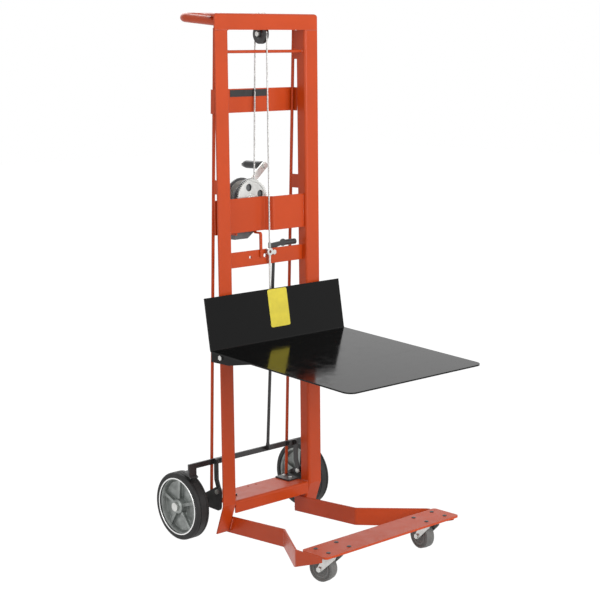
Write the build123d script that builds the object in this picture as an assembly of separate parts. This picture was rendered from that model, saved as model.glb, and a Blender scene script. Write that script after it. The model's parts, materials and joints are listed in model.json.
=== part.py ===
from build123d import *
from math import acos, atan2, cos, degrees, hypot, pi, radians, sin, sqrt, tan
import os

# A hand-winch lift truck, in millimetres. +Z is up, the platform points to -Y, the operator
# stands at +Y. While it is built, Y is zero on the front face of the mast.

# Clearances and one overrun for cuts
running_gap = 0.05
side_gap = 0.5
guide_gap = 0.4
mesh_backlash = 0.5
overrun = 2.0

# Mast uprights: a front flange that points outwards and a web that runs to the rear
mast_width = 394.0
mast_height = 1540.0
mast_wall = 5.0
mast_bend = 5.0
flange_width = 50.0
web_depth = 36.0
mast_foot_z = 24.0
slant_top_z = 114.0
slant_back = 33.0

# Crosshead over the uprights
crosshead_height = 46.0
crosshead_depth = 57.0
crosshead_corner = 10.0

# Push handle
handle_diameter = 25.4
handle_wall = 2.0
handle_reach = 212.0
handle_bend = 38.0
handle_drop = 7.0
handle_rise = 5.5

# Rods and straps of the mast
spreader_diameter = 9.0
spreader_drop = 107.0
spreader_y = 18.0
brace_diameter = 9.5
brace_spread = 152.0
brace_top_y = 55.0
brace_foot_y = 111.0
brace_top_drop = 40.0
strap_height = 69.0
strap_rise_share = 0.510373
strap_wall = 4.0
strap_bend = 5.0
strap_flange = 20.0
gusset_wall = 5.0
upper_gusset_height = 84.0
middle_gusset_low_z = 1027.0
middle_gusset_high_z = 1068.0

# Stepped plate that carries the winch
winch_plate_low_z = 912.0
winch_plate_height = 100.0
winch_plate_wall = 5.0
winch_plate_front_y = 12.0
winch_plate_reach = 178.0
winch_step_left = 12.0
winch_step_right = 26.0
winch_plate_bend = 6.0

# Guide bar below the winch and the strap between them
guide_bar_low_z = 813.0
guide_bar_height = 45.0
guide_bar_wall = 5.0
guide_bar_y = 20.0
guide_hole_left_x = -61.0
guide_hole_right_x = -4.0
guide_hole_left_diameter = 9.0
guide_hole_right_diameter = 12.0
guide_hole_z = 839.0
tie_width = 8.0
tie_wall = 5.0
tie_x = -22.0
tie_overlap = 22.0
tie_bend = 5.0

# Base: a channel between the uprights, two rails and the caster plate
step_plate_top_z = 120.0
step_plate_height = 36.0
step_plate_front_y = 4.0
step_plate_depth = 114.0
step_plate_wall = 5.0
step_plate_bend = 5.0
step_hole_diameter = 7.0
step_hole_spacing = 32.0
step_hole_x = -2.0
step_hole_y = 97.0
rail_wall = 5.0
rail_rear_y = 62.0
rail_rear_low_z = 16.0
rail_rear_high_z = 66.0
rail_level_y = 392.0
rail_taper_y = 365.0
rail_taper_z = 38.0
rail_tip_height = 13.0
rail_front_y = 486.0
rail_bend = 14.0
splay_start = 205.0
splay_end = 385.0
caster_plate_width = 536.0
caster_plate_rear = 409.0
caster_plate_front = 506.0
caster_plate_wall = 6.0
caster_plate_corner = 10.0
caster_plate_top_z = 100.0

# Casters
caster_spread = 195.0
caster_y = 455.0
caster_wheel_diameter = 76.0
caster_wheel_width = 32.0
caster_hub_width = 35.0
caster_hub_diameter = 22.0
caster_trail = 30.0
caster_axle_diameter = 8.0
left_caster_turn = 12.0
right_caster_turn = -6.0
caster_pad_length = 95.0
caster_pad_width = 66.0
caster_pad_wall = 3.0
caster_pad_corner = 8.0
caster_hole_x = 78.0
caster_hole_y = 50.0
caster_bolt_diameter = 8.0
button_height = 2.0
button_taper = 45.0
caster_race_diameter = 46.0
caster_race_height = 7.0
caster_fork_wall = 2.5
caster_face_share = 0.85
caster_dish_share = 0.6
caster_band_share = 0.78
caster_edge_share = 0.84
caster_shoulder_share = 0.97
kingpin_diameter = 10.0

# Rear wheels
wheel_diameter = 203.2
wheel_width = 44.0
wheel_track = 488.0
rim_diameter = 172.0
rim_width = 36.0
rim_wall = 8.0
rim_web = 6.0
rim_step = 4.0
hub_diameter = 44.0
hub_width = 50.0
rib_count = 5
rib_width = 9.0
rib_depth = 16.0
rib_taper = 5.0
tyre_fillet = 7.0
tread_groove_width = 2.5
tread_groove_depth = 1.5
axle_diameter = 16.0
axle_y = 135.0
collar_diameter = 26.0
collar_width = 6.0

# Brackets that carry the rear axle and the brake arms
bracket_wall = 5.0
bracket_x = 164.0
bracket_eye = 15.0
bracket_foot_inner = 104.0
bracket_foot_front_y = 48.0
bracket_foot_depth = 60.0

# Brake: a bar on two arms, a long rod and a hand lever
brake_pivot_y = 62.0
brake_pivot_z = 142.0
brake_bar_y = 86.0
brake_bar_z = 230.0
brake_bar_height = 16.0
brake_bar_wall = 6.0
brake_arm_wall = 5.0
brake_arm_width = 16.0
brake_arm_knee_z = 176.0
brake_tab_reach = 28.0
brake_pin_diameter = 8.0
shoe_clearance = 8.0
shoe_wall = 4.0
shoe_width = 28.0
shoe_start = 102.0
shoe_sweep = 20.0
rod_diameter = 9.5
rod_eye_diameter = 16.0
rod_eye_wall = 5.0
rod_pin_diameter = 6.0
rod_tab_gap = 0.6
lever_pivot_x = 30.0
lever_pivot_z = 846.0
lever_pin_offset = 14.0
lever_wall = 4.0
lever_boss = 9.0
lever_neck = 5.5
lever_knee_z = 863.0
lever_hump_x = 74.0
lever_hump_z = 870.0
lever_hump_radius = 11.0
lever_grip_start_x = 82.0
lever_grip_end_x = 131.0
lever_grip_z = 868.0
lever_grip_diameter = 17.0
lever_neck_share = 0.7
lever_slot_slack = 1.0

# Platform and the carriage behind it
deck_z = 596.0
deck_width = 530.0
deck_wall = 4.0
deck_bend_y = 38.0
deck_length = 557.0
deck_droop = 34.0
back_height = 148.0
sheet_gap = 0.6
back_lean = 26.0
deck_bend = 6.0
deck_corner = 26.0
bevel_length = 16.0
bevel_depth = 2.2
carriage_wall = 5.0
carriage_gap = 4.0
carriage_low_z = 612.0
carriage_high_z = 704.0
carriage_side_gap = 5.0
bracket_low_z = 546.0
bracket_rear_y = 32.0
bracket_high_z = 716.0
arm_reach = 199.0
arm_tip = 7.0
roller_diameter = 22.0
roller_width = 22.0
roller_pin_diameter = 8.0
upper_roller_z = 692.0
lower_roller_z = 564.0
lower_roller_pitch = 34.0

# Sheave under the crosshead
sheave_x = 6.0
sheave_y = 36.0
sheave_drop = 57.0
sheave_diameter = 57.0
sheave_width = 16.0
sheave_pin_diameter = 8.0
cheek_wall = 3.0
cheek_width = 20.0
cheek_bolt_pitch = 26.0
pad_margin = 2.0
sheave_rim_share = 0.75
sheave_boss_share = 0.45
sheave_web_share = 0.55
groove_mouth_share = 0.6
groove_floor_share = 0.8

# Lift cable
cable_diameter = 4.8
cable_seat = 0.3
eye_bolt_diameter = 7.0
eye_outer_diameter = 22.0
eye_inner_diameter = 9.0
eye_z = 850.0
eye_wall = 7.0
sleeve_diameter = 9.0
sleeve_length = 16.0
lug_width = 18.0
lug_wall = 12.0
drum_wraps = 4
wrap_pitch = 5.1

# Winch
drum_x = -28.0
drum_z = 1008.0
drum_radius = 19.3
drum_flange_diameter = 100.0
drum_flange_wall = 2.0
drum_inner_width = 32.0
drum_shaft_diameter = 12.0
gear_y = 45.0
gear_wall = 5.0
gear_module = 2.0
gear_teeth = 56
pinion_teeth = 12
pressure_angle = 25.0
addendum_share = 0.8
dedendum_share = 1.0
gear_hub_diameter = 28.0
gear_window_diameter = 22.0
gear_window_circle = 68.0
gear_window_count = 4
gear_window_turn = 20.0
gear_dish = 1.5
gear_dish_diameter = 96.0
frame_wall = 4.0
frame_left_x = -92.0
frame_low_z = 890.0
frame_flat_x = -42.0
frame_chin_x = -11.0
frame_chin_z = 912.0
frame_top_radius = 58.0
frame_flank_share = 0.25
frame_shoulder_share = 0.7
shaft_head_share = 1.6
pinion_angle = 225.0
pinion_shaft_diameter = 12.0
ratchet_diameter = 40.0
ratchet_teeth = 12
ratchet_wall = 4.0
ratchet_tooth = 4.0
pawl_x = -41.0
pawl_z = 946.0
pawl_pin_diameter = 7.0
pawl_boss = 7.0
pawl_nose = 2.0
pawl_clear = 1.4
pawl_tail_share = 1.6
pawl_root_share = 0.6
pawl_tip_share = 1.5
crank_y = 111.0
crank_wall = 5.0
crank_width = 22.0
crank_end_x = 80.0
crank_end_z = 1095.0
grip_diameter = 24.0
grip_length = 88.0
grip_pin_diameter = 9.0
grip_front_share = 0.8
grip_rear_share = 0.75
winch_bracket_low_z = 904.0
winch_bracket_high_z = 1000.0

# Hexagon heads and nuts
small_bolt = 6.0
hexagon_sides = 6
hex_across_share = 1.7
hex_height_share = 0.6

# Worked-out places
half_mast = mast_width / 2
web_outer = half_mast - flange_width + mast_wall
web_inner = half_mast - flange_width
crosshead_low_z = mast_height - crosshead_height
upper_gusset_high_z = crosshead_low_z
upper_gusset_low_z = upper_gusset_high_z - upper_gusset_height
spreader_z = mast_height - spreader_drop
brace_top_z = mast_height - brace_top_drop
winch_plate_high_z = winch_plate_low_z + winch_plate_height
strap_z = winch_plate_high_z + strap_rise_share * (crosshead_low_z - winch_plate_high_z)
sheave_z = mast_height - sheave_drop
left_plate_y = web_depth
winch_plate_rear_y = left_plate_y + winch_plate_wall
caster_plate_low_z = caster_plate_top_z - caster_plate_wall
rail_inner_x = web_inner - rail_wall / 2
rail_outer_x = caster_plate_width / 2 - rail_wall / 2
wheel_radius = wheel_diameter / 2
caster_radius = caster_wheel_diameter / 2
step_plate_low_z = step_plate_top_z - step_plate_height
deck_front_y = deck_bend_y + deck_length
rear_most_y = axle_y + wheel_radius
front_most_y = -deck_front_y
middle_y = (rear_most_y + front_most_y) / 2
cable_radius = cable_diameter / 2
sheave_cable_radius = sheave_diameter / 2 - cable_radius - cable_seat * 2
drum_cable_radius = drum_radius + cable_radius + cable_seat
front_fall_y = sheave_y - sheave_cable_radius
front_plate_y = gear_y + gear_wall + drum_flange_wall + side_gap * 2
drum_front_y = front_plate_y + frame_wall + side_gap * 2
drum_rear_y = drum_front_y + drum_inner_width + 2 * drum_flange_wall
rear_plate_y = drum_rear_y + side_gap * 2
gear_radius = gear_module * gear_teeth / 2
pinion_radius = gear_module * pinion_teeth / 2
pinion_x = drum_x + (gear_radius + pinion_radius) * cos(radians(pinion_angle))
pinion_z = drum_z + (gear_radius + pinion_radius) * sin(radians(pinion_angle))
ratchet_y = rear_plate_y + frame_wall + side_gap
roller_radius = roller_diameter / 2
upper_roller_y = mast_wall + guide_gap + roller_radius
lower_roller_y = -guide_gap - roller_radius
bracket_inner_x = half_mast + carriage_side_gap


def block(x_low, x_high, y_low, y_high, z_low, z_high):
    """A box between two corners."""
    middle = Pos((x_low + x_high) / 2, (y_low + y_high) / 2, (z_low + z_high) / 2)
    return middle * Box(x_high - x_low, y_high - y_low, z_high - z_low)


def rod(start, end, radius):
    """A round bar between two points."""
    along = Vector(*end) - Vector(*start)
    base = Plane(origin=start, z_dir=along)
    return extrude(base * Circle(radius), along.length)


def tube(start, end, outer, inner):
    """A round bar between two points with a bore through it."""
    along = Vector(*end) - Vector(*start)
    base = Plane(origin=start, z_dir=along)
    return extrude(base * (Circle(outer) - Circle(inner)), along.length)


def strip(points, bend, wall):
    """A bent strip seen from its edge."""
    return trace(FilletPolyline(*points, radius=bend), wall)


def across_x(sketch, x_low, x_high):
    """A sketch of Y and Z, made solid from one X to another."""
    return extrude(Plane.YZ.offset(x_low) * sketch, x_high - x_low)


def across_y(sketch, y_low, y_high):
    """A sketch of X and Z, made solid from one Y to another."""
    return extrude(Plane.XZ.offset(-y_high) * sketch, y_high - y_low)


def across_z(sketch, z_low, z_high):
    """A sketch of X and Y, made solid from one Z to another."""
    return extrude(Plane.XY.offset(z_low) * sketch, z_high - z_low)


def hexagon(plane, across, height):
    """A six-sided head or nut that stands on a plane."""
    return extrude(plane * RegularPolygon(across / 2, hexagon_sides, major_radius=False), height)


def link(first, first_radius, second, second_radius):
    """A flat link with round ends."""
    ends = Pos(*first) * Circle(first_radius) + Pos(*second) * Circle(second_radius)
    return make_hull(ends.edges())


def hexagon_bolt(start, end, diameter):
    """A bolt from its head at start to its nut at end, with the grip between them."""
    along = (Vector(*end) - Vector(*start)).normalized()
    across = diameter * hex_across_share
    height = diameter * hex_height_share
    head_plane = Plane(origin=Vector(*start) - along * height, z_dir=along)
    shank = rod(tuple(Vector(*start) - along * height), end, diameter / 2)
    nut_plane = Plane(origin=end, z_dir=along)
    return hexagon(head_plane, across, height) + shank + hexagon(nut_plane, across, height)


def mirrored(shape):
    """The same piece on the other side of the truck."""
    return mirror(shape, about=Plane.YZ)


def upright():
    """The left upright: a flange and web bent from one plate, with its foot slanted back."""
    corner_x = -web_inner - mast_wall / 2
    middle = mast_wall / 2
    points = [(-half_mast, middle), (corner_x, middle), (corner_x, web_depth)]
    section = strip(points, mast_bend, mast_wall)
    straight = across_z(section, slant_top_z, crosshead_low_z)
    drop = slant_top_z - mast_foot_z
    base = Plane.XY.offset(slant_top_z)
    foot = extrude(base * section, hypot(slant_back, drop), dir=(0, slant_back, -drop))
    return straight + foot


def crosshead():
    """A cap of bent plate over both uprights, with its front corners rounded."""
    middle = mast_wall / 2
    top = mast_height - mast_wall / 2
    points = [(middle, crosshead_low_z), (middle, top), (crosshead_depth, top)]
    shell = across_x(strip(points, mast_bend, mast_wall), -half_mast, half_mast)
    outline = Pos(0, (mast_height + crosshead_low_z - crosshead_height) / 2)
    mask = outline * RectangleRounded(mast_width, 2 * crosshead_height, crosshead_corner)
    shell = shell & across_y(mask, -overrun, crosshead_depth + overrun)
    webs = block(
        web_inner, web_outer, mast_wall, web_depth, crosshead_low_z, mast_height - mast_wall
    )
    holes = [
        rod(
            (sheave_x, sheave_y + side * cheek_bolt_pitch / 2, top - mast_wall),
            (sheave_x, sheave_y + side * cheek_bolt_pitch / 2, mast_height + overrun),
            small_bolt / 2,
        )
        for side in (-1, 1)
    ]
    return shell + webs + mirrored(webs) - holes


def push_handle():
    """A loop of tube that rises to the rear, welded under the crosshead to the webs."""
    radius = handle_diameter / 2
    x = web_outer + radius
    front = radius * sin(radians(handle_rise))
    rear = handle_reach - mast_wall - radius
    corners = [(-x, front, 0), (-x, rear, 0), (x, rear, 0), (x, front, 0)]
    path = FilletPolyline(*corners, radius=handle_bend)
    ring = Circle(radius) - Circle(radius - handle_wall)
    loop = sweep(Plane(origin=corners[0], z_dir=(0, 1, 0)) * ring, path=path)
    height = mast_height - mast_wall - handle_drop - radius
    return Pos(0, mast_wall, height) * Rot(handle_rise, 0, 0) * loop


def spreader_rod():
    """The round rod between the webs below the sheave."""
    start = (-web_inner, spreader_y, spreader_z)
    end = (web_inner, spreader_y, spreader_z)
    return rod(start, end, spreader_diameter / 2)


def brace_y(z):
    """How far to the rear a brace rod stands at a height."""
    share = (brace_top_z - z) / (brace_top_z - step_plate_top_z)
    return brace_top_y + share * (brace_foot_y - brace_top_y)


def brace_rods():
    """Two long rods from the crosshead down to the base channel."""
    top = (brace_spread, brace_y(brace_top_z), brace_top_z)
    foot = (brace_spread, brace_y(step_plate_top_z), step_plate_top_z)
    right = rod(foot, top, brace_diameter / 2)
    return [right, mirrored(right)]


def back_strap():
    """A shallow channel behind the brace rods, with its ends bent forward beside them."""
    lean = degrees(atan2(brace_foot_y - brace_top_y, brace_top_z - step_plate_top_z))
    x = brace_spread + (brace_diameter + strap_wall) / 2
    rear = (brace_diameter + strap_wall) / 2
    points = [(-x, rear - strap_flange), (-x, rear), (x, rear), (x, rear - strap_flange)]
    section = strip(points, strap_bend, strap_wall)
    shape = extrude(section, strap_height)
    return Pos(0, brace_y(strap_z), strap_z) * Rot(lean, 0, 0) * shape


def gusset(z_low, z_high):
    """A plate between a web and its brace rod."""
    rear_low = brace_y(z_low)
    rear_high = brace_y(z_high)
    front = web_depth
    outline = Polygon(
        (front, z_low), (rear_low, z_low), (rear_high, z_high), (front, z_high), align=None
    )
    x = brace_spread - gusset_wall / 2
    plate = across_x(outline, x, x + gusset_wall)
    top = (brace_spread, brace_y(brace_top_z), brace_top_z)
    foot = (brace_spread, brace_y(step_plate_top_z), step_plate_top_z)
    return plate - rod(foot, top, brace_diameter / 2)


def brace_gussets():
    """Two pairs of gussets."""
    upper = gusset(upper_gusset_low_z, upper_gusset_high_z)
    middle = gusset(middle_gusset_low_z, middle_gusset_high_z)
    return [upper, middle, mirrored(upper), mirrored(middle)]


def winch_plate():
    """The cross plate for the winch, which steps forward to the right of the cable."""
    half = winch_plate_wall / 2
    points = [
        (-winch_plate_reach, left_plate_y + half),
        (winch_step_left, left_plate_y + half),
        (winch_step_right, winch_plate_front_y + half),
        (web_inner, winch_plate_front_y + half),
    ]
    section = strip(points, winch_plate_bend, winch_plate_wall)
    return across_z(section, winch_plate_low_z, winch_plate_low_z + winch_plate_height)


def guide_bar():
    """The cross bar between the webs, drilled for guides."""
    front = guide_bar_y
    rear = guide_bar_y + guide_bar_wall
    top = guide_bar_low_z + guide_bar_height
    bar = block(-web_inner, web_inner, front, rear, guide_bar_low_z, top)
    places = [
        (guide_hole_left_x, guide_hole_z, guide_hole_left_diameter),
        (guide_hole_right_x, guide_hole_z, guide_hole_right_diameter),
        (lever_pivot_x, lever_pivot_z, brake_pin_diameter),
    ]
    for x, z, diameter in places:
        bar -= rod((x, front - overrun, z), (x, rear + overrun, z), diameter / 2)
    return bar


def tie_strap():
    """A narrow strap from the front of the guide bar to the back of the winch plate."""
    half = tie_wall / 2
    front = guide_bar_y - half
    rear = winch_plate_rear_y + half
    jog = winch_plate_low_z - tie_wall
    points = [
        (front, guide_hole_z - half),
        (front, jog),
        (rear, jog),
        (rear, winch_plate_low_z + tie_overlap),
    ]
    section = strip(points, tie_bend, tie_wall)
    return across_x(section, tie_x - tie_width / 2, tie_x + tie_width / 2)


def step_plate():
    """The base channel between the uprights, above the ends of the rails."""
    half = step_plate_wall / 2
    front = step_plate_front_y + half
    rear = step_plate_front_y + step_plate_depth - half
    top = step_plate_top_z - half
    points = [(front, step_plate_low_z), (front, top), (rear, top), (rear, step_plate_low_z)]
    section = strip(points, step_plate_bend, step_plate_wall)
    channel = across_x(section, -web_inner, web_inner)
    for side in (-1, 1):
        x = step_hole_x + side * step_hole_spacing / 2
        top_point = (x, step_hole_y, step_plate_top_z + overrun)
        low_point = (x, step_hole_y, step_plate_top_z - step_plate_wall - overrun)
        channel -= rod(low_point, top_point, step_hole_diameter / 2)
    return channel - bracket_bolt_holes()


def base_rail():
    """The right rail: flat bar on edge that rises to the caster plate and tapers at its tip."""
    points = [
        (rail_inner_x, rail_rear_y),
        (rail_inner_x, -splay_start),
        (rail_outer_x, -splay_end),
        (rail_outer_x, -rail_front_y),
    ]
    section = strip(points, rail_bend, rail_wall)
    side = Polygon(
        (rail_rear_y, rail_rear_low_z),
        (rail_rear_y, rail_rear_high_z),
        (-rail_level_y, caster_plate_low_z),
        (-rail_front_y, caster_plate_low_z),
        (-rail_front_y, caster_plate_low_z - rail_tip_height),
        (-rail_taper_y, rail_taper_z),
        align=None,
    )
    bar = across_z(section, rail_rear_low_z, caster_plate_low_z)
    return bar & across_x(side, rail_inner_x - rail_wall, rail_outer_x + rail_wall)


def caster_hole_places():
    """Where the caster bolts stand, for both casters."""
    places = []
    for side in (-1, 1):
        for along in (-1, 1):
            for across in (-1, 1):
                x = side * caster_spread + along * caster_hole_x / 2
                y = -caster_y + across * caster_hole_y / 2
                places.append((x, y))
    return places


def caster_plate():
    """The plate across the front of the rails."""
    depth = caster_plate_front - caster_plate_rear
    middle = -(caster_plate_front + caster_plate_rear) / 2
    outline = Pos(0, middle) * RectangleRounded(caster_plate_width, depth, caster_plate_corner)
    for place in caster_hole_places():
        outline -= Pos(*place) * Circle(caster_bolt_diameter / 2 + running_gap)
    return across_z(outline, caster_plate_low_z, caster_plate_top_z)


def caster_top_plates():
    """The fixed top plate of each caster, with its kingpin."""
    low = caster_plate_low_z - caster_pad_wall
    pads = []
    for side in (-1, 1):
        x = side * caster_spread
        outline = Pos(x, -caster_y) * RectangleRounded(
            caster_pad_length, caster_pad_width, caster_pad_corner
        )
        for place in caster_hole_places():
            outline -= Pos(*place) * Circle(caster_bolt_diameter / 2 + running_gap)
        pad = across_z(outline, low, caster_plate_low_z)
        race_low = low - caster_race_height
        pin_low = race_low - caster_fork_wall - side_gap
        pin = rod((x, -caster_y, pin_low), (x, -caster_y, low), kingpin_diameter / 2)
        head_low = pin_low - caster_fork_wall
        head = rod((x, -caster_y, head_low), (x, -caster_y, pin_low), kingpin_diameter)
        race = rod((x, -caster_y, race_low + side_gap), (x, -caster_y, low), caster_race_diameter / 2)
        pads.append(pad + race + pin + head)
    return pads


def caster_bolts():
    """The bolts through the caster plate, low round heads on top and nuts below."""
    low = caster_plate_low_z - caster_pad_wall
    across = caster_bolt_diameter * hex_across_share / 2
    height = caster_bolt_diameter * hex_height_share
    bolts = []
    for x, y in caster_hole_places():
        shank = rod((x, y, low - height), (x, y, caster_plate_top_z), caster_bolt_diameter / 2)
        head = Plane(origin=(x, y, caster_plate_top_z)) * Circle(across)
        button = extrude(head, button_height, taper=button_taper)
        nut = hexagon(Plane(origin=(x, y, low - height)), 2 * across, height)
        bolts.append(shank + button + nut)
    return bolts


def caster_fork():
    """A pressed fork around one wheel, swivel axis at zero, trailing to the rear."""
    top = caster_plate_low_z - caster_pad_wall - caster_race_height
    half = caster_hub_width / 2 + side_gap + caster_fork_wall / 2
    crown = top - caster_fork_wall / 2
    eye = caster_axle_diameter
    points = [(-half, caster_radius - eye), (-half, crown), (half, crown), (half, caster_radius - eye)]
    section = strip(points, caster_fork_wall, caster_fork_wall)
    reach = caster_race_diameter / 2
    length = reach + caster_trail + eye
    band = Pos(0, -reach, 0) * extrude(Plane.XZ * section, -length)
    side = make_hull(
        (
            Pos(caster_trail, caster_radius) * Circle(eye)
            + Pos(0, top - caster_fork_wall) * Circle(reach / 2)
            + Pos(-reach / 2, top - caster_fork_wall) * Circle(reach / 2)
        ).edges()
    )
    wide = half + caster_fork_wall
    fork = band & across_x(side, -wide, wide)
    disc = rod((0, 0, crown - caster_fork_wall / 2), (0, 0, top), reach)
    fork = fork + disc
    hole = kingpin_diameter / 2 + running_gap
    fork -= rod((0, 0, top - caster_fork_wall - overrun), (0, 0, top + overrun), hole)
    axle_start = (-wide, caster_trail, caster_radius)
    axle_end = (wide, caster_trail, caster_radius)
    fork -= rod(axle_start, axle_end, caster_axle_diameter / 2)
    bolt = hexagon_bolt(
        (-half - caster_fork_wall / 2, caster_trail, caster_radius),
        (half + caster_fork_wall / 2, caster_trail, caster_radius),
        caster_axle_diameter,
    )
    return [fork, bolt]


def caster_wheel():
    """A solid caster wheel with a raised hub and a crowned tread."""
    width = caster_wheel_width / 2
    hub = caster_hub_width / 2
    bore = caster_axle_diameter / 2 + running_gap
    face = width * caster_face_share
    points = [
        (hub, bore),
        (hub, caster_hub_diameter / 2),
        (face, caster_hub_diameter * caster_dish_share),
        (face, caster_radius * caster_band_share),
        (width, caster_radius * caster_edge_share),
        (face, caster_radius * caster_shoulder_share),
        (0, caster_radius),
    ]
    half_outline = Polyline(*points)
    mirrored_points = [(-x, z) for x, z in reversed(points[:-1])]
    other = Polyline(points[-1], *mirrored_points)
    closing = Line(mirrored_points[-1], points[0])
    face_sketch = make_face((half_outline + other + closing).edges())
    spin = Axis((0, 0, 0), (1, 0, 0))
    wheel = revolve(Plane.XZ * face_sketch, axis=spin)
    return Pos(0, caster_trail, caster_radius) * wheel


def placed_caster(shape, side, turn):
    """A caster piece at its swivel axis, turned about it."""
    return Pos(side * caster_spread, -caster_y, 0) * Rot(0, 0, turn) * shape


def wheel_hub():
    """A cast wheel centre with a thin web and radial ribs, its middle at zero, its axis along X."""
    bore = axle_diameter / 2 + running_gap
    half_rim = rim_width / 2
    half_web = rim_web / 2
    half_hub = hub_width / 2
    outer = rim_diameter / 2
    inner = outer - rim_wall
    boss = hub_diameter / 2
    right = [
        (half_hub, bore),
        (half_hub, boss - rim_step),
        (half_hub - rim_step, boss),
        (half_web, boss + rim_step),
        (half_web, inner - rim_step),
        (half_rim - rim_step, inner),
        (half_rim, inner + rim_step / 2),
        (half_rim, outer),
    ]
    left = [(-x, z) for x, z in reversed(right)]
    section = Plane.XZ * Polygon(*right, *left, align=None)
    hub = revolve(section, axis=Axis.X)
    taper = Polygon(
        (-rib_depth, boss - rim_step),
        (rib_depth, boss - rim_step),
        (rib_depth - rib_taper, inner + rim_step),
        (rib_taper - rib_depth, inner + rim_step),
        align=None,
    )
    rib = extrude(Plane.XZ * taper, rib_width / 2, both=True)
    for index in range(rib_count):
        hub += Rot(360 / rib_count * index, 0, 0) * rib
    return hub


def tyre():
    """A solid tyre on the rim, with two shallow tread grooves."""
    half = wheel_width / 2
    inner = rim_diameter / 2
    section = Pos(0, (wheel_radius + inner) / 2) * Rectangle(wheel_width, wheel_radius - inner)
    outer_corners = section.vertices().group_by(Axis.Y)[-1]
    section = fillet(outer_corners, tyre_fillet)
    for side in (-1, 1):
        groove = Pos(side * half / 2, wheel_radius) * Rectangle(
            tread_groove_width, 2 * tread_groove_depth
        )
        section -= groove
    return revolve(Plane.XZ * section, axis=Axis.X)


def placed_wheel(shape, side):
    """A rear wheel piece at its end of the axle."""
    turn = 0 if side < 0 else 180
    return Pos(side * wheel_track / 2, axle_y, wheel_radius) * Rot(0, 0, turn) * shape


def rear_axle():
    """The axle through both wheels."""
    end = wheel_track / 2 + hub_width / 2 + collar_width + side_gap
    start = (-end, axle_y, wheel_radius)
    return rod(start, (end, axle_y, wheel_radius), axle_diameter / 2)


def axle_collars():
    """Collars that hold each wheel, one on either side of it."""
    collars = []
    bore = axle_diameter / 2
    for side in (-1, 1):
        for face in (-1, 1):
            near = wheel_track / 2 + face * (hub_width / 2 + side_gap)
            far = near + face * collar_width
            start = (side * near, axle_y, wheel_radius)
            end = (side * far, axle_y, wheel_radius)
            collars.append(tube(start, end, collar_diameter / 2, bore))
    return collars


def axle_bracket():
    """The right bracket: a foot bolted to the channel and an ear for the axle and pivot."""
    foot = block(
        bracket_foot_inner,
        bracket_x + bracket_wall,
        bracket_foot_front_y,
        bracket_foot_front_y + bracket_foot_depth,
        step_plate_top_z,
        step_plate_top_z + bracket_wall,
    )
    ends = (
        Pos(brake_pivot_y, brake_pivot_z) * Circle(bracket_eye)
        + Pos(axle_y, wheel_radius) * Circle(bracket_eye)
        + Pos(bracket_foot_front_y + bracket_eye, step_plate_low_z + bracket_eye) * Circle(bracket_eye)
    )
    ear = across_x(make_hull(ends.edges()), bracket_x, bracket_x + bracket_wall)
    whole = foot + ear
    outside = bracket_x + bracket_wall + overrun
    inside = bracket_x - overrun
    pivot = rod(
        (inside, brake_pivot_y, brake_pivot_z), (outside, brake_pivot_y, brake_pivot_z),
        brake_pin_diameter / 2,
    )
    axle = rod((inside, axle_y, wheel_radius), (outside, axle_y, wheel_radius), axle_diameter / 2)
    rod_top = (brace_spread, brace_y(brace_top_z), brace_top_z)
    rod_foot = (brace_spread, brace_y(step_plate_low_z), step_plate_low_z)
    brace = rod(rod_foot, rod_top, brace_diameter / 2 + side_gap)
    return whole - pivot - axle - brace - bracket_bolt_holes()


def bracket_bolt_holes():
    """Cuts for the bolts that hold the bracket feet to the channel."""
    low = step_plate_top_z - step_plate_wall - overrun
    high = step_plate_top_z + bracket_wall + overrun
    return [rod((x, y, low), (x, y, high), small_bolt / 2) for x, y in bracket_bolt_places()]


def bracket_bolt_places():
    """Where the bracket feet are bolted down."""
    places = []
    x = (bracket_foot_inner + web_inner) / 2
    for side in (-1, 1):
        for share in (-1, 1):
            middle = bracket_foot_front_y + bracket_foot_depth / 2
            y = middle + share * bracket_foot_depth / 4
            places.append((side * x, y))
    return places


def brake_pivot_bolts():
    """The two bolts that the brake arms swing on."""
    bolts = []
    for side in (-1, 1):
        inner = side * (bracket_x - side_gap - brake_arm_wall - side_gap)
        outer = side * (bracket_x + bracket_wall)
        start = (inner, brake_pivot_y, brake_pivot_z)
        end = (outer, brake_pivot_y, brake_pivot_z)
        bolts.append(hexagon_bolt(start, end, brake_pin_diameter))
    return bolts


def brake_arms():
    """Two arms, bent forward to their pivots, that carry the bar."""
    x_high = bracket_x - side_gap
    x_low = x_high - brake_arm_wall
    half = brake_arm_width / 2
    pivot = (brake_pivot_y, brake_pivot_z)
    knee = (brake_bar_y - brake_bar_wall / 2 - half, brake_arm_knee_z)
    top = (knee[0], brake_bar_z)
    sketch = link(pivot, half, knee, half) + link(knee, half, top, half)
    sketch -= Pos(*pivot) * Circle(brake_pin_diameter / 2 + running_gap)
    arm = across_x(sketch, x_low, x_high)
    tab_front = brake_bar_y - brake_bar_wall / 2 - brake_arm_wall
    tab = block(
        x_low - brake_tab_reach,
        x_low + brake_arm_wall / 2,
        tab_front,
        tab_front + brake_arm_wall,
        brake_bar_z - half,
        brake_bar_z + half,
    )
    arm = arm + tab
    bolt_x = brake_bolt_x()
    arm -= rod(
        (bolt_x, tab_front - overrun, brake_bar_z), (bolt_x, brake_bar_y, brake_bar_z), small_bolt / 2
    )
    return [arm, mirrored(arm)]


def brake_bolt_x():
    """Where the arms are bolted to the bar."""
    return bracket_x - side_gap - brake_arm_wall - brake_tab_reach + brake_arm_width / 2


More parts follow.
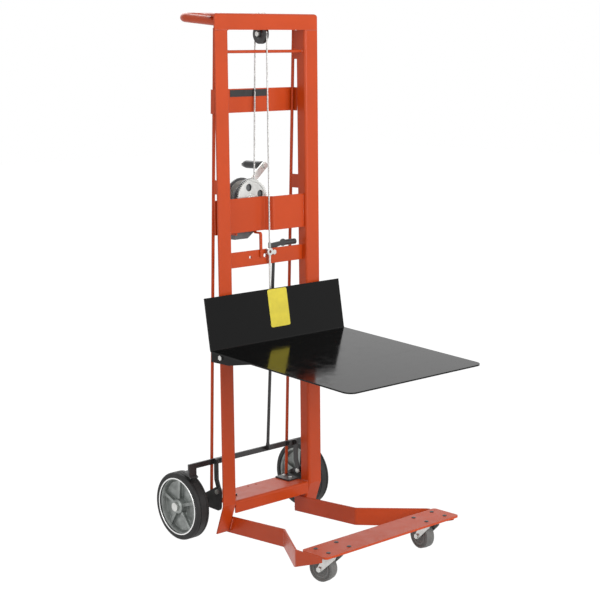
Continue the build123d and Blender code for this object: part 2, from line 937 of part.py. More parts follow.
def brake_bar():
    """The bar across the truck, with a shoe over each tyre and a tab for the rod."""
    low = brake_bar_z - brake_bar_height / 2
    high = brake_bar_z + brake_bar_height / 2
    front = brake_bar_y - brake_bar_wall / 2
    rear = brake_bar_y + brake_bar_wall / 2
    shoe_outer = wheel_track / 2 + shoe_width / 2
    shoe_inner = wheel_track / 2 - shoe_width / 2
    bar = block(-shoe_outer, shoe_outer, front, rear, low, high)
    near = wheel_radius + shoe_clearance
    far = near + shoe_wall
    first = radians(shoe_start)
    middle = radians(shoe_start + shoe_sweep / 2)
    last = radians(shoe_start + shoe_sweep)

    def at(radius, turn):
        """A point at a distance and an angle from the axle."""
        return (axle_y + radius * cos(turn), wheel_radius + radius * sin(turn))

    outline = (
        ThreePointArc(at(near, first), at(near, middle), at(near, last))
        + Line(at(near, last), at(far, last))
        + ThreePointArc(at(far, last), at(far, middle), at(far, first))
        + Line(at(far, first), at(near, first))
    )
    shoe = across_x(make_face(outline.edges()), shoe_inner, shoe_outer)
    foot = wheel_radius + sqrt(near**2 - (axle_y - rear) ** 2)
    hanger = block(shoe_inner, shoe_outer, front, rear, foot, low + overrun)
    right = shoe + hanger
    bar = bar + right + mirrored(right)
    for side in (-1, 1):
        x = side * brake_bolt_x()
        bar -= rod((x, front - overrun, brake_bar_z), (x, rear + overrun, brake_bar_z), small_bolt / 2)
    pin = (rod_x() + rod_eye_wall / 2 + rod_tab_gap, rod_low_y(), rod_low_z())
    tab_low = pin[0]
    tab_high = tab_low + brake_arm_wall
    outline = make_hull(
        (
            Pos(rod_low_y(), rod_low_z()) * Circle(rod_eye_diameter / 2)
            + Pos(front + brake_bar_wall / 2, brake_bar_z) * Circle(brake_bar_wall / 2)
        ).edges()
    )
    outline -= Pos(rod_low_y(), rod_low_z()) * Circle(rod_pin_diameter / 2 + running_gap)
    tab = across_x(outline, tab_low, tab_high)
    return bar + tab


def brake_bar_bolts():
    """The bolts that join the arms to the bar."""
    bolts = []
    start_y = brake_bar_y - brake_bar_wall / 2 - brake_arm_wall
    end_y = brake_bar_y + brake_bar_wall / 2
    for side in (-1, 1):
        x = side * brake_bolt_x()
        bolts.append(hexagon_bolt((x, start_y, brake_bar_z), (x, end_y, brake_bar_z), small_bolt))
    return bolts


def rod_x():
    """The rod stands where the lever's pin is at mid stroke."""
    return lever_pivot_x + lever_pin_offset


def rod_low_y():
    """The Y of the rod's lower eye."""
    return brake_bar_y - brake_bar_wall / 2 - rod_eye_diameter / 2 - side_gap


def rod_low_z():
    """The height of the rod's lower eye."""
    return brake_bar_z + brake_bar_height / 4


def rod_high_y():
    """The Y of the rod's bent top."""
    return guide_bar_y + guide_bar_wall + side_gap + lever_wall + side_gap + rod_diameter / 2


def rod_high_z():
    """The height of the rod's pin in the lever."""
    return lever_pivot_z


def brake_rod():
    """The long rod, with a flat eye at its foot and a pin bent forward at its top."""
    x = rod_x()
    low = Vector(x, rod_low_y(), rod_low_z())
    high = Vector(x, rod_high_y(), rod_high_z())
    along = (high - low).normalized()
    neck = low + along * rod_eye_diameter
    shaft = rod(tuple(neck), tuple(high), rod_diameter / 2)
    half = rod_eye_wall / 2
    flat = link((low.Y, low.Z), rod_eye_diameter / 2, (neck.Y, neck.Z), rod_diameter / 2)
    eye = across_x(flat, x - half, x + half)
    knob = Pos(*tuple(high)) * Sphere(rod_diameter / 2)
    pin_front = high.Y - rod_diameter / 2 - side_gap - lever_wall
    pin = rod(tuple(high), (x, pin_front, high.Z), rod_pin_diameter / 2)
    shape = shaft + eye + knob + pin
    reach = half + rod_tab_gap + brake_arm_wall + rod_tab_gap
    cross = rod((x - half, low.Y, low.Z), (x + reach, low.Y, low.Z), rod_pin_diameter / 2)
    return shape + cross


def brake_lever():
    """The hand lever behind the guide bar: a flat arm, a raised clip and a round grip."""
    front = guide_bar_y + guide_bar_wall + side_gap
    rear = front + lever_wall
    pivot = (lever_pivot_x, lever_pivot_z)
    hump = (lever_hump_x, lever_hump_z)
    pin = (rod_x(), rod_high_z())
    knee = (lever_pivot_x, lever_knee_z)
    sketch = link(pivot, lever_boss, knee, lever_boss) + link(knee, lever_boss, hump, lever_neck)
    sketch += link(pivot, lever_boss, pin, lever_boss)
    sketch -= Pos(*pivot) * Circle(brake_pin_diameter / 2 + running_gap)
    slot = rod_pin_diameter / 2 + lever_slot_slack
    sketch -= Pos(*pin) * Circle(slot)
    sketch += Pos(*hump) * Circle(lever_hump_radius)
    arm = across_y(sketch, front, rear)
    grip_radius = lever_grip_diameter / 2
    neck_radius = grip_radius * lever_neck_share
    bevel = grip_radius - neck_radius
    profile = Polygon(
        (lever_hump_x, 0),
        (lever_hump_x, neck_radius),
        (lever_grip_start_x, neck_radius),
        (lever_grip_start_x + bevel, grip_radius),
        (lever_grip_end_x - bevel, grip_radius),
        (lever_grip_end_x, neck_radius),
        (lever_grip_end_x, 0),
        align=None,
    )
    grip = Pos(0, front + grip_radius, lever_grip_z) * revolve(profile, axis=Axis.X)
    return arm + grip


def lever_bolt():
    """The pivot bolt of the hand lever, its head on the front of the guide bar."""
    rear = guide_bar_y + guide_bar_wall + side_gap + lever_wall + side_gap
    start = (lever_pivot_x, guide_bar_y, lever_pivot_z)
    return hexagon_bolt(start, (lever_pivot_x, rear, lever_pivot_z), brake_pin_diameter)


def deck_profile():
    """The bent platform sheet from the side: back, bend and deck, as centre-line points."""
    half = deck_wall / 2
    back_top = (-(deck_bend_y - back_lean), deck_z + back_height)
    bend = (-deck_bend_y + half, deck_z - half)
    front = (-deck_front_y, deck_z - deck_droop - half)
    return [back_top, bend, front]


def platform():
    """The platform: one sheet bent up at the back, with rounded front corners."""
    section = strip(deck_profile(), deck_bend, deck_wall)
    sheet = across_x(section, -deck_width / 2, deck_width / 2)
    front = sheet.faces().sort_by(Axis.Y)[0]
    sheet = fillet(front.edges().filter_by(Axis.X, reverse=True), deck_corner)
    return sheet - across_x(deck_bevel(), -deck_width / 2 - overrun, deck_width / 2 + overrun)


def deck_bevel():
    """The wedge ground off the top of the deck's front edge, as Y and Z."""
    bend = deck_profile()[1]
    front = deck_profile()[2]
    slope = degrees(atan2(bend[1] - front[1], bend[0] - front[0]))
    top = deck_wall / 2
    wedge = Polygon(
        (bevel_length, top),
        (0, top - bevel_depth),
        (-overrun, top - bevel_depth),
        (-overrun, top + overrun),
        (bevel_length, top + overrun),
        align=None,
    )
    return Pos(*front) * Rot(0, 0, slope) * wedge


def deck_middle_z(y):
    """The middle of the deck sheet at a distance in front of the mast."""
    bend = deck_profile()[1]
    front = deck_profile()[2]
    share = (y - bend[0]) / (front[0] - bend[0])
    return bend[1] + share * (front[1] - bend[1])


def back_middle_y(z):
    """The middle of the platform's back at a height."""
    back_top = deck_profile()[0]
    bend = deck_profile()[1]
    share = (z - bend[1]) / (back_top[1] - bend[1])
    return bend[0] + share * (back_top[0] - bend[0])


def carriage_brackets():
    """Side plates that carry the platform, its arms and the roller pins."""
    bend = deck_profile()[1]
    outline = Polygon(
        (bracket_rear_y, bracket_low_z),
        (bracket_rear_y, bracket_high_z),
        (back_middle_y(bracket_high_z), bracket_high_z),
        bend,
        (-arm_reach, deck_middle_z(-arm_reach)),
        (-arm_reach, deck_middle_z(-arm_reach) - deck_wall - arm_tip),
        (lower_roller_y - lower_roller_pitch, bracket_low_z),
        align=None,
    )
    outline -= strip(deck_profile(), deck_bend, deck_wall + 2 * sheet_gap)
    for y, z in roller_places():
        outline -= Pos(y, z) * Circle(roller_pin_diameter / 2)
    right = across_x(outline, bracket_inner_x, bracket_inner_x + carriage_wall)
    return [right, mirrored(right)]


def roller_places():
    """The roller axes, as Y and Z: one behind the flange, two in front of it lower down."""
    return [(upper_roller_y, upper_roller_z), (lower_roller_y, lower_roller_z)]


def carriage_plate():
    """The cross plate between the side plates, with the lug for the lift cable."""
    rear = -carriage_gap
    front = rear - carriage_wall
    plate = block(
        -bracket_inner_x, bracket_inner_x, front, rear, carriage_low_z, carriage_high_z
    )
    lug = block(
        sheave_x - lug_width / 2,
        sheave_x + lug_width / 2,
        rear,
        front_fall_y + eye_bolt_diameter,
        carriage_high_z - lug_wall,
        carriage_high_z,
    )
    hole_low = (sheave_x, front_fall_y, carriage_high_z - lug_wall - overrun)
    hole_high = (sheave_x, front_fall_y, carriage_high_z + overrun)
    return plate + lug - rod(hole_low, hole_high, eye_bolt_diameter / 2)


def roller_bolts():
    """The pins of the carriage rollers, their heads outside the side plates."""
    bolts = []
    for side in (-1, 1):
        for y, z in roller_places():
            outer = side * (bracket_inner_x + carriage_wall)
            inner = side * (bracket_inner_x - side_gap - roller_width - side_gap)
            start = (outer, y, z)
            bolts.append(hexagon_bolt(start, (inner, y, z), roller_pin_diameter))
    return bolts


def roller_pair(y, z):
    """Two rollers on one line, one at each side of the mast."""
    rollers = []
    for side in (-1, 1):
        outer = side * (bracket_inner_x - side_gap)
        inner = side * (bracket_inner_x - side_gap - roller_width)
        bore = roller_pin_diameter / 2 + running_gap
        rollers.append(tube((outer, y, z), (inner, y, z), roller_radius, bore))
    return rollers


def cable_eye_bolt():
    """The eye bolt on the carriage lug, with nuts above and below the lug."""
    low = carriage_high_z - lug_wall
    nut = eye_bolt_diameter * hex_height_share
    across = eye_bolt_diameter * hex_across_share
    shank = rod(
        (sheave_x, front_fall_y, low - 2 * nut), (sheave_x, front_fall_y, eye_z), eye_bolt_diameter / 2
    )
    half = eye_wall / 2
    ring = rod(
        (sheave_x, front_fall_y - half, eye_z), (sheave_x, front_fall_y + half, eye_z),
        eye_outer_diameter / 2,
    )
    hole = rod(
        (sheave_x, front_fall_y - eye_wall, eye_z), (sheave_x, front_fall_y + eye_wall, eye_z),
        eye_inner_diameter / 2,
    )
    eye = shank + ring - hole
    for base in (low - nut, carriage_high_z):
        eye += hexagon(Plane(origin=(sheave_x, front_fall_y, base)), across, nut)
    return eye


def sleeve_low_z():
    """The foot of the sleeve, on the eye."""
    return eye_z + eye_outer_diameter / 2


def cable_sleeve():
    """The swaged sleeve that closes the cable's loop above the eye."""
    low = sleeve_low_z()
    start = (sheave_x, front_fall_y, low)
    end = (sheave_x, front_fall_y, low + sleeve_length)
    sleeve = rod(start, end, sleeve_diameter / 2)
    return fillet(sleeve.edges().filter_by(GeomType.CIRCLE), sleeve_diameter / 6)


def front_cable():
    """The fall of the cable from the sheave down to the sleeve."""
    start = (sheave_x, front_fall_y, sleeve_low_z() + sleeve_length)
    return rod(start, (sheave_x, front_fall_y, sheave_z), cable_radius)


def rear_cable():
    """The cable over the sheave and down to the drum."""
    front = (sheave_x, front_fall_y, sheave_z)
    top = (sheave_x, sheave_y, sheave_z + sheave_cable_radius)
    rear = (sheave_x, sheave_y + sheave_cable_radius, sheave_z)
    low = (drum_x + drum_cable_radius, wrap_y(0), drum_z)
    along = Vector(*low) - Vector(*rear)
    path = ThreePointArc(front, top, rear) + Spline(rear, low, tangents=[(0, 0, -1), along])
    section = Plane(origin=front, z_dir=(0, 0, 1)) * Circle(cable_radius)
    return sweep(section, path=path)


def sheave():
    """The grooved wheel for the cable."""
    half = sheave_width / 2
    outer = sheave_diameter / 2
    bore = sheave_pin_diameter / 2 + running_gap
    groove = sheave_cable_radius - cable_radius - cable_seat
    rim = half * sheave_rim_share
    mouth = rim * groove_mouth_share
    floor = cable_radius * groove_floor_share
    points = [
        (-half, bore),
        (-half, outer * sheave_boss_share),
        (-rim, outer * sheave_web_share),
        (-rim, outer),
        (-mouth, outer),
        (-floor, groove),
        (floor, groove),
        (mouth, outer),
        (rim, outer),
        (rim, outer * sheave_web_share),
        (half, outer * sheave_boss_share),
        (half, bore),
    ]
    wheel = revolve(Plane.XZ * Polygon(*points, align=None), axis=Axis.X)
    return Pos(sheave_x, sheave_y, sheave_z) * wheel


def sheave_bracket():
    """Two cheeks that hang from the crosshead, joined by a top pad with two bolt holes."""
    half = sheave_width / 2 + side_gap
    top = mast_height - mast_wall
    pad_low = top - cheek_wall
    depth = cheek_bolt_pitch + 2 * small_bolt + pad_margin
    pad = block(
        sheave_x - half - cheek_wall - pad_margin,
        sheave_x + half + cheek_wall + pad_margin,
        sheave_y - depth / 2,
        sheave_y + depth / 2,
        pad_low,
        top,
    )
    seat = pad_low + cheek_wall / 2
    outline = Pos(sheave_y, (sheave_z + seat) / 2) * Rectangle(cheek_width, seat - sheave_z)
    outline += Pos(sheave_y, sheave_z) * Circle(cheek_width / 2)
    outline -= Pos(sheave_y, sheave_z) * Circle(sheave_pin_diameter / 2)
    left = across_x(outline, sheave_x - half - cheek_wall, sheave_x - half)
    right = across_x(outline, sheave_x + half, sheave_x + half + cheek_wall)
    bracket = pad + left + right
    for side in (-1, 1):
        y = sheave_y + side * cheek_bolt_pitch / 2
        bracket -= rod((sheave_x, y, pad_low - overrun), (sheave_x, y, top + overrun), small_bolt / 2)
    return bracket


def sheave_pin():
    """The bolt that the sheave turns on."""
    half = sheave_width / 2 + side_gap + cheek_wall
    start = (sheave_x - half, sheave_y, sheave_z)
    return hexagon_bolt(start, (sheave_x + half, sheave_y, sheave_z), sheave_pin_diameter)


def wrap_y(index):
    """Where a turn of cable lies along the drum."""
    return drum_front_y + drum_flange_wall + cable_radius + cable_seat + index * wrap_pitch


def drum():
    """The winch drum: a barrel between two flanges."""
    bore = drum_shaft_diameter / 2 + running_gap
    outer = drum_flange_diameter / 2
    front = drum_front_y
    rear = drum_rear_y
    points = [
        (bore, front),
        (outer, front),
        (outer, front + drum_flange_wall),
        (drum_radius, front + drum_flange_wall),
        (drum_radius, rear - drum_flange_wall),
        (outer, rear - drum_flange_wall),
        (outer, rear),
        (bore, rear),
    ]
    shape = revolve(Polygon(*points, align=None), axis=Axis.Y)
    return Pos(drum_x, 0, drum_z) * shape


def drum_cable():
    """The turns of cable already on the drum."""
    inner = cable_radius + cable_seat - running_gap
    middle = (drum_wraps + 1) / 2
    band = Pos(drum_cable_radius - inner / 2, wrap_y(middle))
    section = band * Rectangle(inner, wrap_pitch * (drum_wraps - 1))
    for index in range(drum_wraps):
        section += Pos(drum_cable_radius, wrap_y(index + 1)) * Circle(cable_radius)
    coil = revolve(section, axis=Axis.Y)
    return Pos(drum_x, 0, drum_z) * coil


def involute_point(base, radius, start):
    """A point on the involute of a base circle, turned by a start angle."""
    unroll = sqrt(max((radius / base) ** 2 - 1, 0))
    angle = start + unroll - atan2(unroll, 1)
    return (radius * cos(angle), radius * sin(angle))


def gear_outline(teeth, backlash, phase):
    """The outline of a spur gear with involute flanks."""
    pitch = gear_module * teeth / 2
    base = pitch * cos(radians(pressure_angle))
    tip = pitch + gear_module * addendum_share
    root = pitch - gear_module * dedendum_share
    low = max(base, root)
    lean = tan(radians(pressure_angle)) - radians(pressure_angle)
    half_tooth = pi / (2 * teeth) - backlash / 2 / pitch + lean
    step = 2 * pi / teeth
    edges = []
    for index in range(teeth):
        middle = phase + index * step
        rise = [involute_point(base, r, middle - half_tooth) for r in (low, (low + tip) / 2, tip)]
        across = 2 * middle
        fall = [(x * cos(across) + y * sin(across), x * sin(across) - y * cos(across)) for x, y in rise]
        valley_start = atan2(fall[0][1], fall[0][0])
        next_angle = valley_start + step - 2 * (half_tooth - angle_at(base, low))
        floor_middle = (valley_start + next_angle) / 2
        edges.append(ThreePointArc(rise[0], rise[1], rise[2]))
        edges.append(Line(rise[2], fall[2]))
        edges.append(ThreePointArc(fall[2], fall[1], fall[0]))
        floor = (root * cos(floor_middle), root * sin(floor_middle))
        next_start = involute_point(base, low, middle + step - half_tooth)
        edges.append(ThreePointArc(fall[0], floor, next_start))
    return make_face(edges)


def angle_at(base, radius):
    """The angle that an involute has turned at a radius."""
    unroll = sqrt(max((radius / base) ** 2 - 1, 0))
    return unroll - atan2(unroll, 1)


def drum_gear():
    """The main gear in front of the winch frame, joined to the drum by its hub."""
    phase = radians(pinion_angle)
    outline = gear_outline(gear_teeth, mesh_backlash, phase)
    outline -= Circle(drum_shaft_diameter / 2 + running_gap)
    for index in range(gear_window_count):
        turn = 2 * pi / gear_window_count * index + radians(gear_window_turn)
        place = (gear_window_circle / 2 * cos(turn), gear_window_circle / 2 * sin(turn))
        outline -= Pos(*place) * Circle(gear_window_diameter / 2)
    plate = across_y(Pos(drum_x, drum_z) * outline, gear_y, gear_y + gear_wall)
    hub = tube(
        (drum_x, gear_y + gear_wall, drum_z), (drum_x, drum_front_y, drum_z),
        gear_hub_diameter / 2, drum_shaft_diameter / 2 + running_gap,
    )
    dish = tube(
        (drum_x, gear_y - overrun, drum_z), (drum_x, gear_y + gear_dish, drum_z),
        gear_dish_diameter / 2, gear_hub_diameter / 2,
    )
    return plate - dish + hub


def drum_shaft():
    """The fixed shaft of the drum, with a low head in front and a nut behind."""
    head = gear_y - side_gap
    front = head - gear_wall / 2
    rear = rear_plate_y + frame_wall
    shaft = rod((drum_x, front, drum_z), (drum_x, rear + ratchet_wall, drum_z), drum_shaft_diameter / 2)
    across = drum_shaft_diameter * shaft_head_share
    cap = rod((drum_x, front, drum_z), (drum_x, head, drum_z), across / 2)
    nut_plane = Plane(origin=(drum_x, rear, drum_z), z_dir=(0, 1, 0))
    return shaft + cap + hexagon(nut_plane, across, ratchet_wall)


def side_plate_outline():
    """One side of the winch frame: round on top, with a slanted chin."""
    radius = frame_top_radius
    chin = (frame_chin_x, frame_chin_z)
    lower = [
        (frame_left_x, frame_low_z),
        (frame_flat_x, frame_low_z),
        chin,
        (drum_x + radius, drum_z - radius * frame_flank_share),
        (drum_x + radius, drum_z),
        (frame_left_x, drum_z),
    ]
    body = Polygon(*lower, align=None)
    top = Pos(drum_x, drum_z) * Circle(radius)
    left = Polygon(
        (frame_left_x, drum_z),
        (frame_left_x, drum_z + radius * frame_flank_share),
        (drum_x - radius * frame_shoulder_share, drum_z + radius * frame_shoulder_share),
        (drum_x, drum_z),
        align=None,
    )
    return body + top + left


def winch_frame():
    """Two side plates joined by a base at the left, with the pin of the pawl."""
    outline = side_plate_outline()
    front_outline = outline - Pos(drum_x, drum_z) * Circle(gear_hub_diameter / 2 + side_gap)
    rear_outline = outline - Pos(drum_x, drum_z) * Circle(drum_shaft_diameter / 2)
    bore = pinion_shaft_diameter / 2 + running_gap
    front_outline -= Pos(pinion_x, pinion_z) * Circle(bore)
    rear_outline -= Pos(pinion_x, pinion_z) * Circle(bore)
    front = across_y(front_outline, front_plate_y, front_plate_y + frame_wall)
    rear = across_y(rear_outline, rear_plate_y, rear_plate_y + frame_wall)
    base = block(
        frame_left_x,
        frame_left_x + frame_wall,
        front_plate_y,
        rear_plate_y + frame_wall,
        frame_low_z,
        winch_bracket_high_z,
    )
    for y, z in winch_bolt_places():
        start = (frame_left_x - overrun, y, z)
        base -= rod(start, (frame_left_x + frame_wall + overrun, y, z), small_bolt / 2)
    pin_end = ratchet_y + ratchet_wall + side_gap
    pin = rod((pawl_x, rear_plate_y + frame_wall, pawl_z), (pawl_x, pin_end, pawl_z), pawl_pin_diameter / 2)
    return front + rear + base + pin


def winch_bolt_places():
    """Where the winch is bolted to its bracket, as Y and Z."""
    low = winch_bracket_low_z + 2 * small_bolt
    high = pinion_z - 4 * small_bolt
    front = front_plate_y + frame_wall + 2 * small_bolt
    rear = rear_plate_y - 2 * small_bolt
    return [(front, low), (rear, low), (front, high), (rear, high)]


def winch_bracket():
    """The plate behind the winch plate that the winch is bolted to."""
    bracket = block(
        frame_left_x - winch_plate_wall,
        frame_left_x,
        winch_plate_rear_y,
        rear_plate_y + frame_wall,
        winch_bracket_low_z,
        winch_bracket_high_z,
    )
    for y, z in winch_bolt_places():
        bracket -= rod(
            (frame_left_x - winch_plate_wall - overrun, y, z), (frame_left_x + overrun, y, z), small_bolt / 2
        )
    return bracket


def frame_bolts():
    """The bolts of the winch, the sheave bracket and the axle brackets."""
    bolts = []
    for y, z in winch_bolt_places():
        start = (frame_left_x - winch_plate_wall, y, z)
        bolts.append(hexagon_bolt(start, (frame_left_x + frame_wall, y, z), small_bolt))
    for side in (-1, 1):
        y = sheave_y + side * cheek_bolt_pitch / 2
        low = mast_height - mast_wall - cheek_wall
        bolts.append(hexagon_bolt((sheave_x, y, mast_height), (sheave_x, y, low), small_bolt))
    for x, y in bracket_bolt_places():
        top = step_plate_top_z + bracket_wall
        low = step_plate_top_z - step_plate_wall
        bolts.append(hexagon_bolt((x, y, top), (x, y, low), small_bolt))
    return bolts


def pinion_phase():
    """The pinion's turn that puts a gap where the gear has its tooth."""
    return radians(pinion_angle + 180) + pi / pinion_teeth


def pinion_shaft():
    """The pinion and its shaft in one piece, through both side plates."""
    outline = gear_outline(pinion_teeth, 0, pinion_phase())
    teeth = across_y(Pos(pinion_x, pinion_z) * outline, gear_y - side_gap, gear_y + gear_wall + side_gap)
    radius = pinion_shaft_diameter / 2
    shaft = rod((pinion_x, gear_y, pinion_z), (pinion_x, crank_y + crank_wall, pinion_z), radius)
    return teeth + shaft


def ratchet_wheel():
    """The ratchet on the pinion shaft, with raked teeth."""
    outer = ratchet_diameter / 2
    root = outer - ratchet_tooth
    step = 2 * pi / ratchet_teeth
    points = []
    for index in range(ratchet_teeth):
        angle = index * step
        points.append((outer * cos(angle), outer * sin(angle)))
        points.append((root * cos(angle), root * sin(angle)))
    outline = Polygon(*points, align=None) - Circle(pinion_shaft_diameter / 2)
    return across_y(Pos(pinion_x, pinion_z) * outline, ratchet_y, ratchet_y + ratchet_wall)


def pawl():
    """The pawl, held clear of the ratchet while the crank is free."""
    dx = pinion_x - pawl_x
    dz = pinion_z - pawl_z
    distance = hypot(dx, dz)
    reach = distance - ratchet_diameter / 2 - pawl_clear - pawl_nose
    nose = (pawl_x + dx / distance * reach, pawl_z + dz / distance * reach)
    sketch = link((pawl_x, pawl_z), pawl_boss, nose, pawl_nose)
    tail = (pawl_x + pawl_boss * pawl_tail_share, pawl_z - pawl_boss)
    sketch += link((pawl_x, pawl_z), pawl_boss * pawl_root_share, tail, pawl_nose * pawl_tip_share)
    sketch -= Pos(pawl_x, pawl_z) * Circle(pawl_pin_diameter / 2 + running_gap)
    return across_y(sketch, ratchet_y, ratchet_y + ratchet_wall)


def crank_arm():
    """The flat crank arm."""
    radius = crank_width / 2
    outline = link((pinion_x, pinion_z), radius, (crank_end_x, crank_end_z), radius)
    outline -= Pos(pinion_x, pinion_z) * Circle(pinion_shaft_diameter / 2)
    outline -= Pos(crank_end_x, crank_end_z) * Circle(grip_pin_diameter / 2)
    return across_y(outline, crank_y, crank_y + crank_wall)


def crank_bolt():
    """The bolt that the grip turns on, with its head on the front of the arm."""
    end_y = crank_y + crank_wall + side_gap + grip_length + side_gap
    start = (crank_end_x, crank_y, crank_end_z)
    return hexagon_bolt(start, (crank_end_x, end_y, crank_end_z), grip_pin_diameter)


def crank_grip():
    """The turning grip, slimmer at both ends."""
    start = crank_y + crank_wall + side_gap
    end = start + grip_length
    bore = grip_pin_diameter / 2 + running_gap
    full = grip_diameter / 2
    points = [
        (bore, start),
        (full * grip_front_share, start),
        (full, start + full / 2),
        (full, end - full),
        (full * grip_rear_share, end),
        (bore, end),
    ]
    grip = revolve(Polygon(*points, align=None), axis=Axis.Y)
    return Pos(crank_end_x, 0, crank_end_z) * grip


def build_parts():
    """Every node of the truck, by name."""
    left = upright()
    rail = base_rail()
    bracket = axle_bracket()
    fork = caster_fork()
    roll = caster_wheel()
    hub = wheel_hub()
    rubber = tyre()
    return {
        "left_upright": left,
        "right_upright": mirrored(left),
        "crosshead": crosshead(),
        "push_handle": push_handle(),
        "spreader_rod": spreader_rod(),
        "brace_rods": brace_rods(),
        "back_strap": back_strap(),
        "brace_gussets": brace_gussets(),
        "winch_plate": winch_plate(),
        "guide_bar": guide_bar(),
        "tie_strap": tie_strap(),
        "step_plate": step_plate(),
        "left_base_rail": mirrored(rail),
        "right_base_rail": rail,
        "caster_plate": caster_plate(),
        "caster_top_plates": caster_top_plates(),
        "caster_bolts": caster_bolts(),
        "sheave_bracket": sheave_bracket(),
        "sheave_pin": sheave_pin(),
        "sheave": sheave(),
        "winch_bracket": winch_bracket(),
        "winch_frame": winch_frame(),
        "drum_shaft": drum_shaft(),
        "frame_bolts": frame_bolts() + [lever_bolt()],
        "rear_axle": rear_axle(),
        "axle_brackets": [mirrored(bracket), bracket],
        "axle_collars": axle_collars(),
        "brake_pivot_bolts": brake_pivot_bolts(),
        "rear_cable": rear_cable(),
        "platform": platform(),
        "carriage_plate": carriage_plate(),
        "carriage_brackets": carriage_brackets(),
        "roller_bolts": roller_bolts(),
        "upper_rollers": roller_pair(*roller_places()[0]),
        "lower_rollers": roller_pair(*roller_places()[1]),
        "cable_eye_bolt": cable_eye_bolt(),
        "cable_sleeve": cable_sleeve(),
        "front_cable": front_cable(),
        "winch_drum": drum(),
        "drum_gear": drum_gear(),
        "drum_cable": drum_cable(),
        "pinion_shaft": pinion_shaft(),
        "ratchet_wheel": ratchet_wheel(),
        "pawl": pawl(),
        "crank_arm": crank_arm(),
        "crank_bolt": crank_bolt(),
        "crank_grip": crank_grip(),
        "brake_lever": brake_lever(),
        "brake_rod": brake_rod(),
        "brake_bar": brake_bar(),
        "brake_arms": brake_arms() + brake_bar_bolts(),
        "left_wheel": placed_wheel(hub, -1),
        "left_tyre": placed_wheel(rubber, -1),
        "right_wheel": placed_wheel(hub, 1),
        "right_tyre": placed_wheel(rubber, 1),
        "left_caster_fork": [placed_caster(piece, -1, left_caster_turn) for piece in fork],
        "left_caster_wheel": placed_caster(roll, -1, left_caster_turn),
        "right_caster_fork": [placed_caster(piece, 1, right_caster_turn) for piece in fork],
        "right_caster_wheel": placed_caster(roll, 1, right_caster_turn),
    }


def write_parts():
    """Move every node so that the origin is under the middle of the truck, and write it."""
    os.makedirs("parts", exist_ok=True)
    for name, shape in build_parts().items():
        pieces = shape if isinstance(shape, list) else [shape]
        solids = [Pos(0, -middle_y, 0) * solid for piece in pieces for solid in piece.solids()]
        group = solids[0] if len(solids) == 1 else Compound(children=solids)
        export_step(group, f"parts/{name}.step")


write_parts()
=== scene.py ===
import json
from math import cos, pi, radians, sin

import bmesh
import bpy
from mathutils import Matrix, Vector


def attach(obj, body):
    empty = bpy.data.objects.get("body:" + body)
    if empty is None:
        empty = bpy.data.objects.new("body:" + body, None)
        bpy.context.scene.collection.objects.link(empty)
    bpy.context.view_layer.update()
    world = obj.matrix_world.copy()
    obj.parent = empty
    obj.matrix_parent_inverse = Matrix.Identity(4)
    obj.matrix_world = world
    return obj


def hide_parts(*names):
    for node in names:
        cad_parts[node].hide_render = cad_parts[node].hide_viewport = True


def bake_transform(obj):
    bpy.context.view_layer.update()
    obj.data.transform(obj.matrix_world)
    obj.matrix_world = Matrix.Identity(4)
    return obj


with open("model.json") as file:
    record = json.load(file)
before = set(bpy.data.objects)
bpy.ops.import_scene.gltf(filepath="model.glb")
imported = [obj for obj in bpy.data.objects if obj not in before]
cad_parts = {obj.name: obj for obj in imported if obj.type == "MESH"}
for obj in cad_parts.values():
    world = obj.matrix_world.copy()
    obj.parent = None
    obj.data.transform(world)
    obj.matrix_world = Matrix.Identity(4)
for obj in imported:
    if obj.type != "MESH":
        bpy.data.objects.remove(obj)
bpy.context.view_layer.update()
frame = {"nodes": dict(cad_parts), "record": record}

# The mast's front face lies this far from the row's origin, in metres.
MAST_Y = 0.1792

# Camera, as fitted to the photograph
CAMERA_AZIMUTH = radians(-42.84)
CAMERA_ELEVATION = radians(9.38)
CAMERA_ROLL = radians(-0.60)
CAMERA_DISTANCE = 4.277
CAMERA_TARGET = Vector((-0.0465, MAST_Y - 0.1757, 0.7326))
CAMERA_LENS = 90.0
SENSOR = 36.0


def place_camera():
    """The camera at the photograph's angle and distance."""
    data = bpy.data.cameras.new("camera")
    data.lens = CAMERA_LENS
    data.sensor_width = SENSOR
    data.clip_end = 50.0
    camera = bpy.data.objects.new("camera", data)
    bpy.context.scene.collection.objects.link(camera)
    level = cos(CAMERA_ELEVATION)
    back = Vector((sin(CAMERA_AZIMUTH) * level, -cos(CAMERA_AZIMUTH) * level, sin(CAMERA_ELEVATION)))
    right = Vector((cos(CAMERA_AZIMUTH), sin(CAMERA_AZIMUTH), 0))
    up = back.cross(right)
    turned_right = right * cos(CAMERA_ROLL) + up * sin(CAMERA_ROLL)
    turned_up = up * cos(CAMERA_ROLL) - right * sin(CAMERA_ROLL)
    rotation = Matrix((turned_right, turned_up, back)).transposed().to_4x4()
    camera.matrix_world = Matrix.Translation(CAMERA_TARGET + back * CAMERA_DISTANCE) @ rotation
    bpy.context.scene.camera = camera


def area_light(name, place, target, size, power):
    """A soft square lamp that faces a point."""
    data = bpy.data.lights.new(name, "AREA")
    data.shape = "SQUARE"
    data.size = size
    data.energy = power
    lamp = bpy.data.objects.new(name, data)
    bpy.context.scene.collection.objects.link(lamp)
    lamp.location = place
    lamp.rotation_euler = (Vector(target) - Vector(place)).to_track_quat("-Z", "Y").to_euler()


